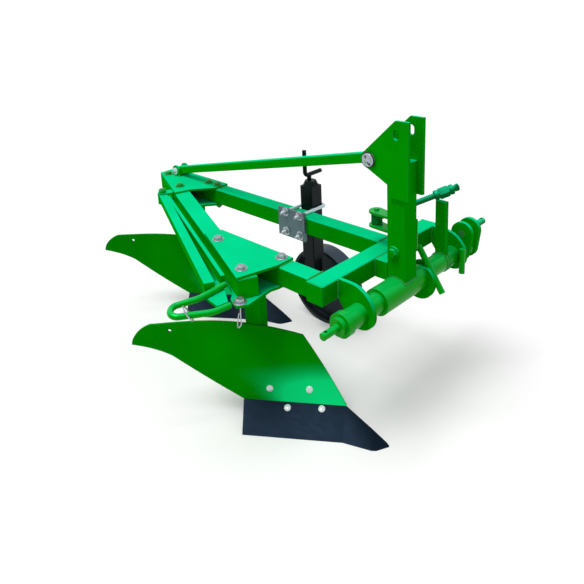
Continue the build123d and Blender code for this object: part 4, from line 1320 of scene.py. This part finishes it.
class PLOUGH_OT_studio(bpy.types.Operator):
    """Floor, soft light and the photograph's camera"""

    bl_idname = "plough.studio"
    bl_label = "Studio"

    def execute(self, context):
        scene = context.scene
        studio = scene.plough_studio
        middle = (cad_low + cad_high) / 2
        build_floor((middle.x, middle.y, cad_low.z), tuple(studio.floor_colour), studio.floor_lift)
        build_world(studio.room_light)
        sun_data = bpy.data.lights.new("soft_key", "SUN")
        sun_data.energy = studio.sun_strength
        sun_data.angle = SUN_SPREAD
        sun = bpy.data.objects.new("soft_key", sun_data)
        sun.rotation_mode = "QUATERNION"
        sun.rotation_quaternion = Vector(SUN_FROM).to_track_quat("Z", "Y")
        scene.collection.objects.link(sun)
        camera_data = bpy.data.cameras.new("photo_camera")
        camera_data.sensor_width = SENSOR_WIDTH
        camera_data.lens = FOCAL_PIXELS * SENSOR_WIDTH / PHOTO_SIDE
        camera_data.shift_y = CAMERA_SHIFT_Y
        camera_data.clip_end = CLIP_END
        camera = bpy.data.objects.new("photo_camera", camera_data)
        axes = camera_axes(CAMERA_YAW, CAMERA_PITCH, CAMERA_ROLL)
        place = Matrix([[*column] for column in np.array(axes).T]).to_4x4()
        place.translation = Vector(plan(*CAMERA_PLACE))
        camera.matrix_world = place
        scene.collection.objects.link(camera)
        scene.camera = camera
        scene.view_settings.view_transform = "Standard"
        return {"FINISHED"}


OPERATORS = (
    PLOUGH_OT_paint,
    PLOUGH_OT_gusset_bolts,
    PLOUGH_OT_clamp_nuts,
    PLOUGH_OT_body_bolts,
    PLOUGH_OT_welds,
    PLOUGH_OT_screw,
    PLOUGH_OT_pins,
    PLOUGH_OT_studio,
)


GROUPS = {
    "plough_finish": PloughFinish,
    "plough_hardware": PloughHardware,
    "plough_studio": PloughStudio,
}


class PLOUGH_PT_panel(bpy.types.Panel):
    """Plough pieces and their sizes"""

    bl_idname = "PLOUGH_PT_panel"
    bl_label = "Plough"
    bl_space_type = "VIEW_3D"
    bl_region_type = "UI"
    bl_category = "Plough"

    def draw(self, context):
        for operator in OPERATORS:
            self.layout.operator(operator.bl_idname)
        for group_name, group in GROUPS.items():
            box = self.layout.box()
            for name in group.__annotations__:
                box.prop(getattr(context.scene, group_name), name)


def register():
    """Adds the property groups, operators and panel."""
    for name, group in GROUPS.items():
        bpy.utils.register_class(group)
        setattr(bpy.types.Scene, name, bpy.props.PointerProperty(type=group))
    for operator in OPERATORS:
        bpy.utils.register_class(operator)
    bpy.utils.register_class(PLOUGH_PT_panel)


def unregister():
    """Takes them away again."""
    bpy.utils.unregister_class(PLOUGH_PT_panel)
    for operator in reversed(OPERATORS):
        bpy.utils.unregister_class(operator)
    for name, group in GROUPS.items():
        delattr(bpy.types.Scene, name)
        bpy.utils.unregister_class(group)


def main():
    """Runs every step in order."""
    register()
    bpy.ops.plough.paint()
    bpy.ops.plough.gusset_bolts()
    bpy.ops.plough.clamp_nuts()
    bpy.ops.plough.body_bolts()
    bpy.ops.plough.welds()
    bpy.ops.plough.screw()
    bpy.ops.plough.pins()
    bpy.ops.plough.studio()


if __name__ == "__main__":
    main()
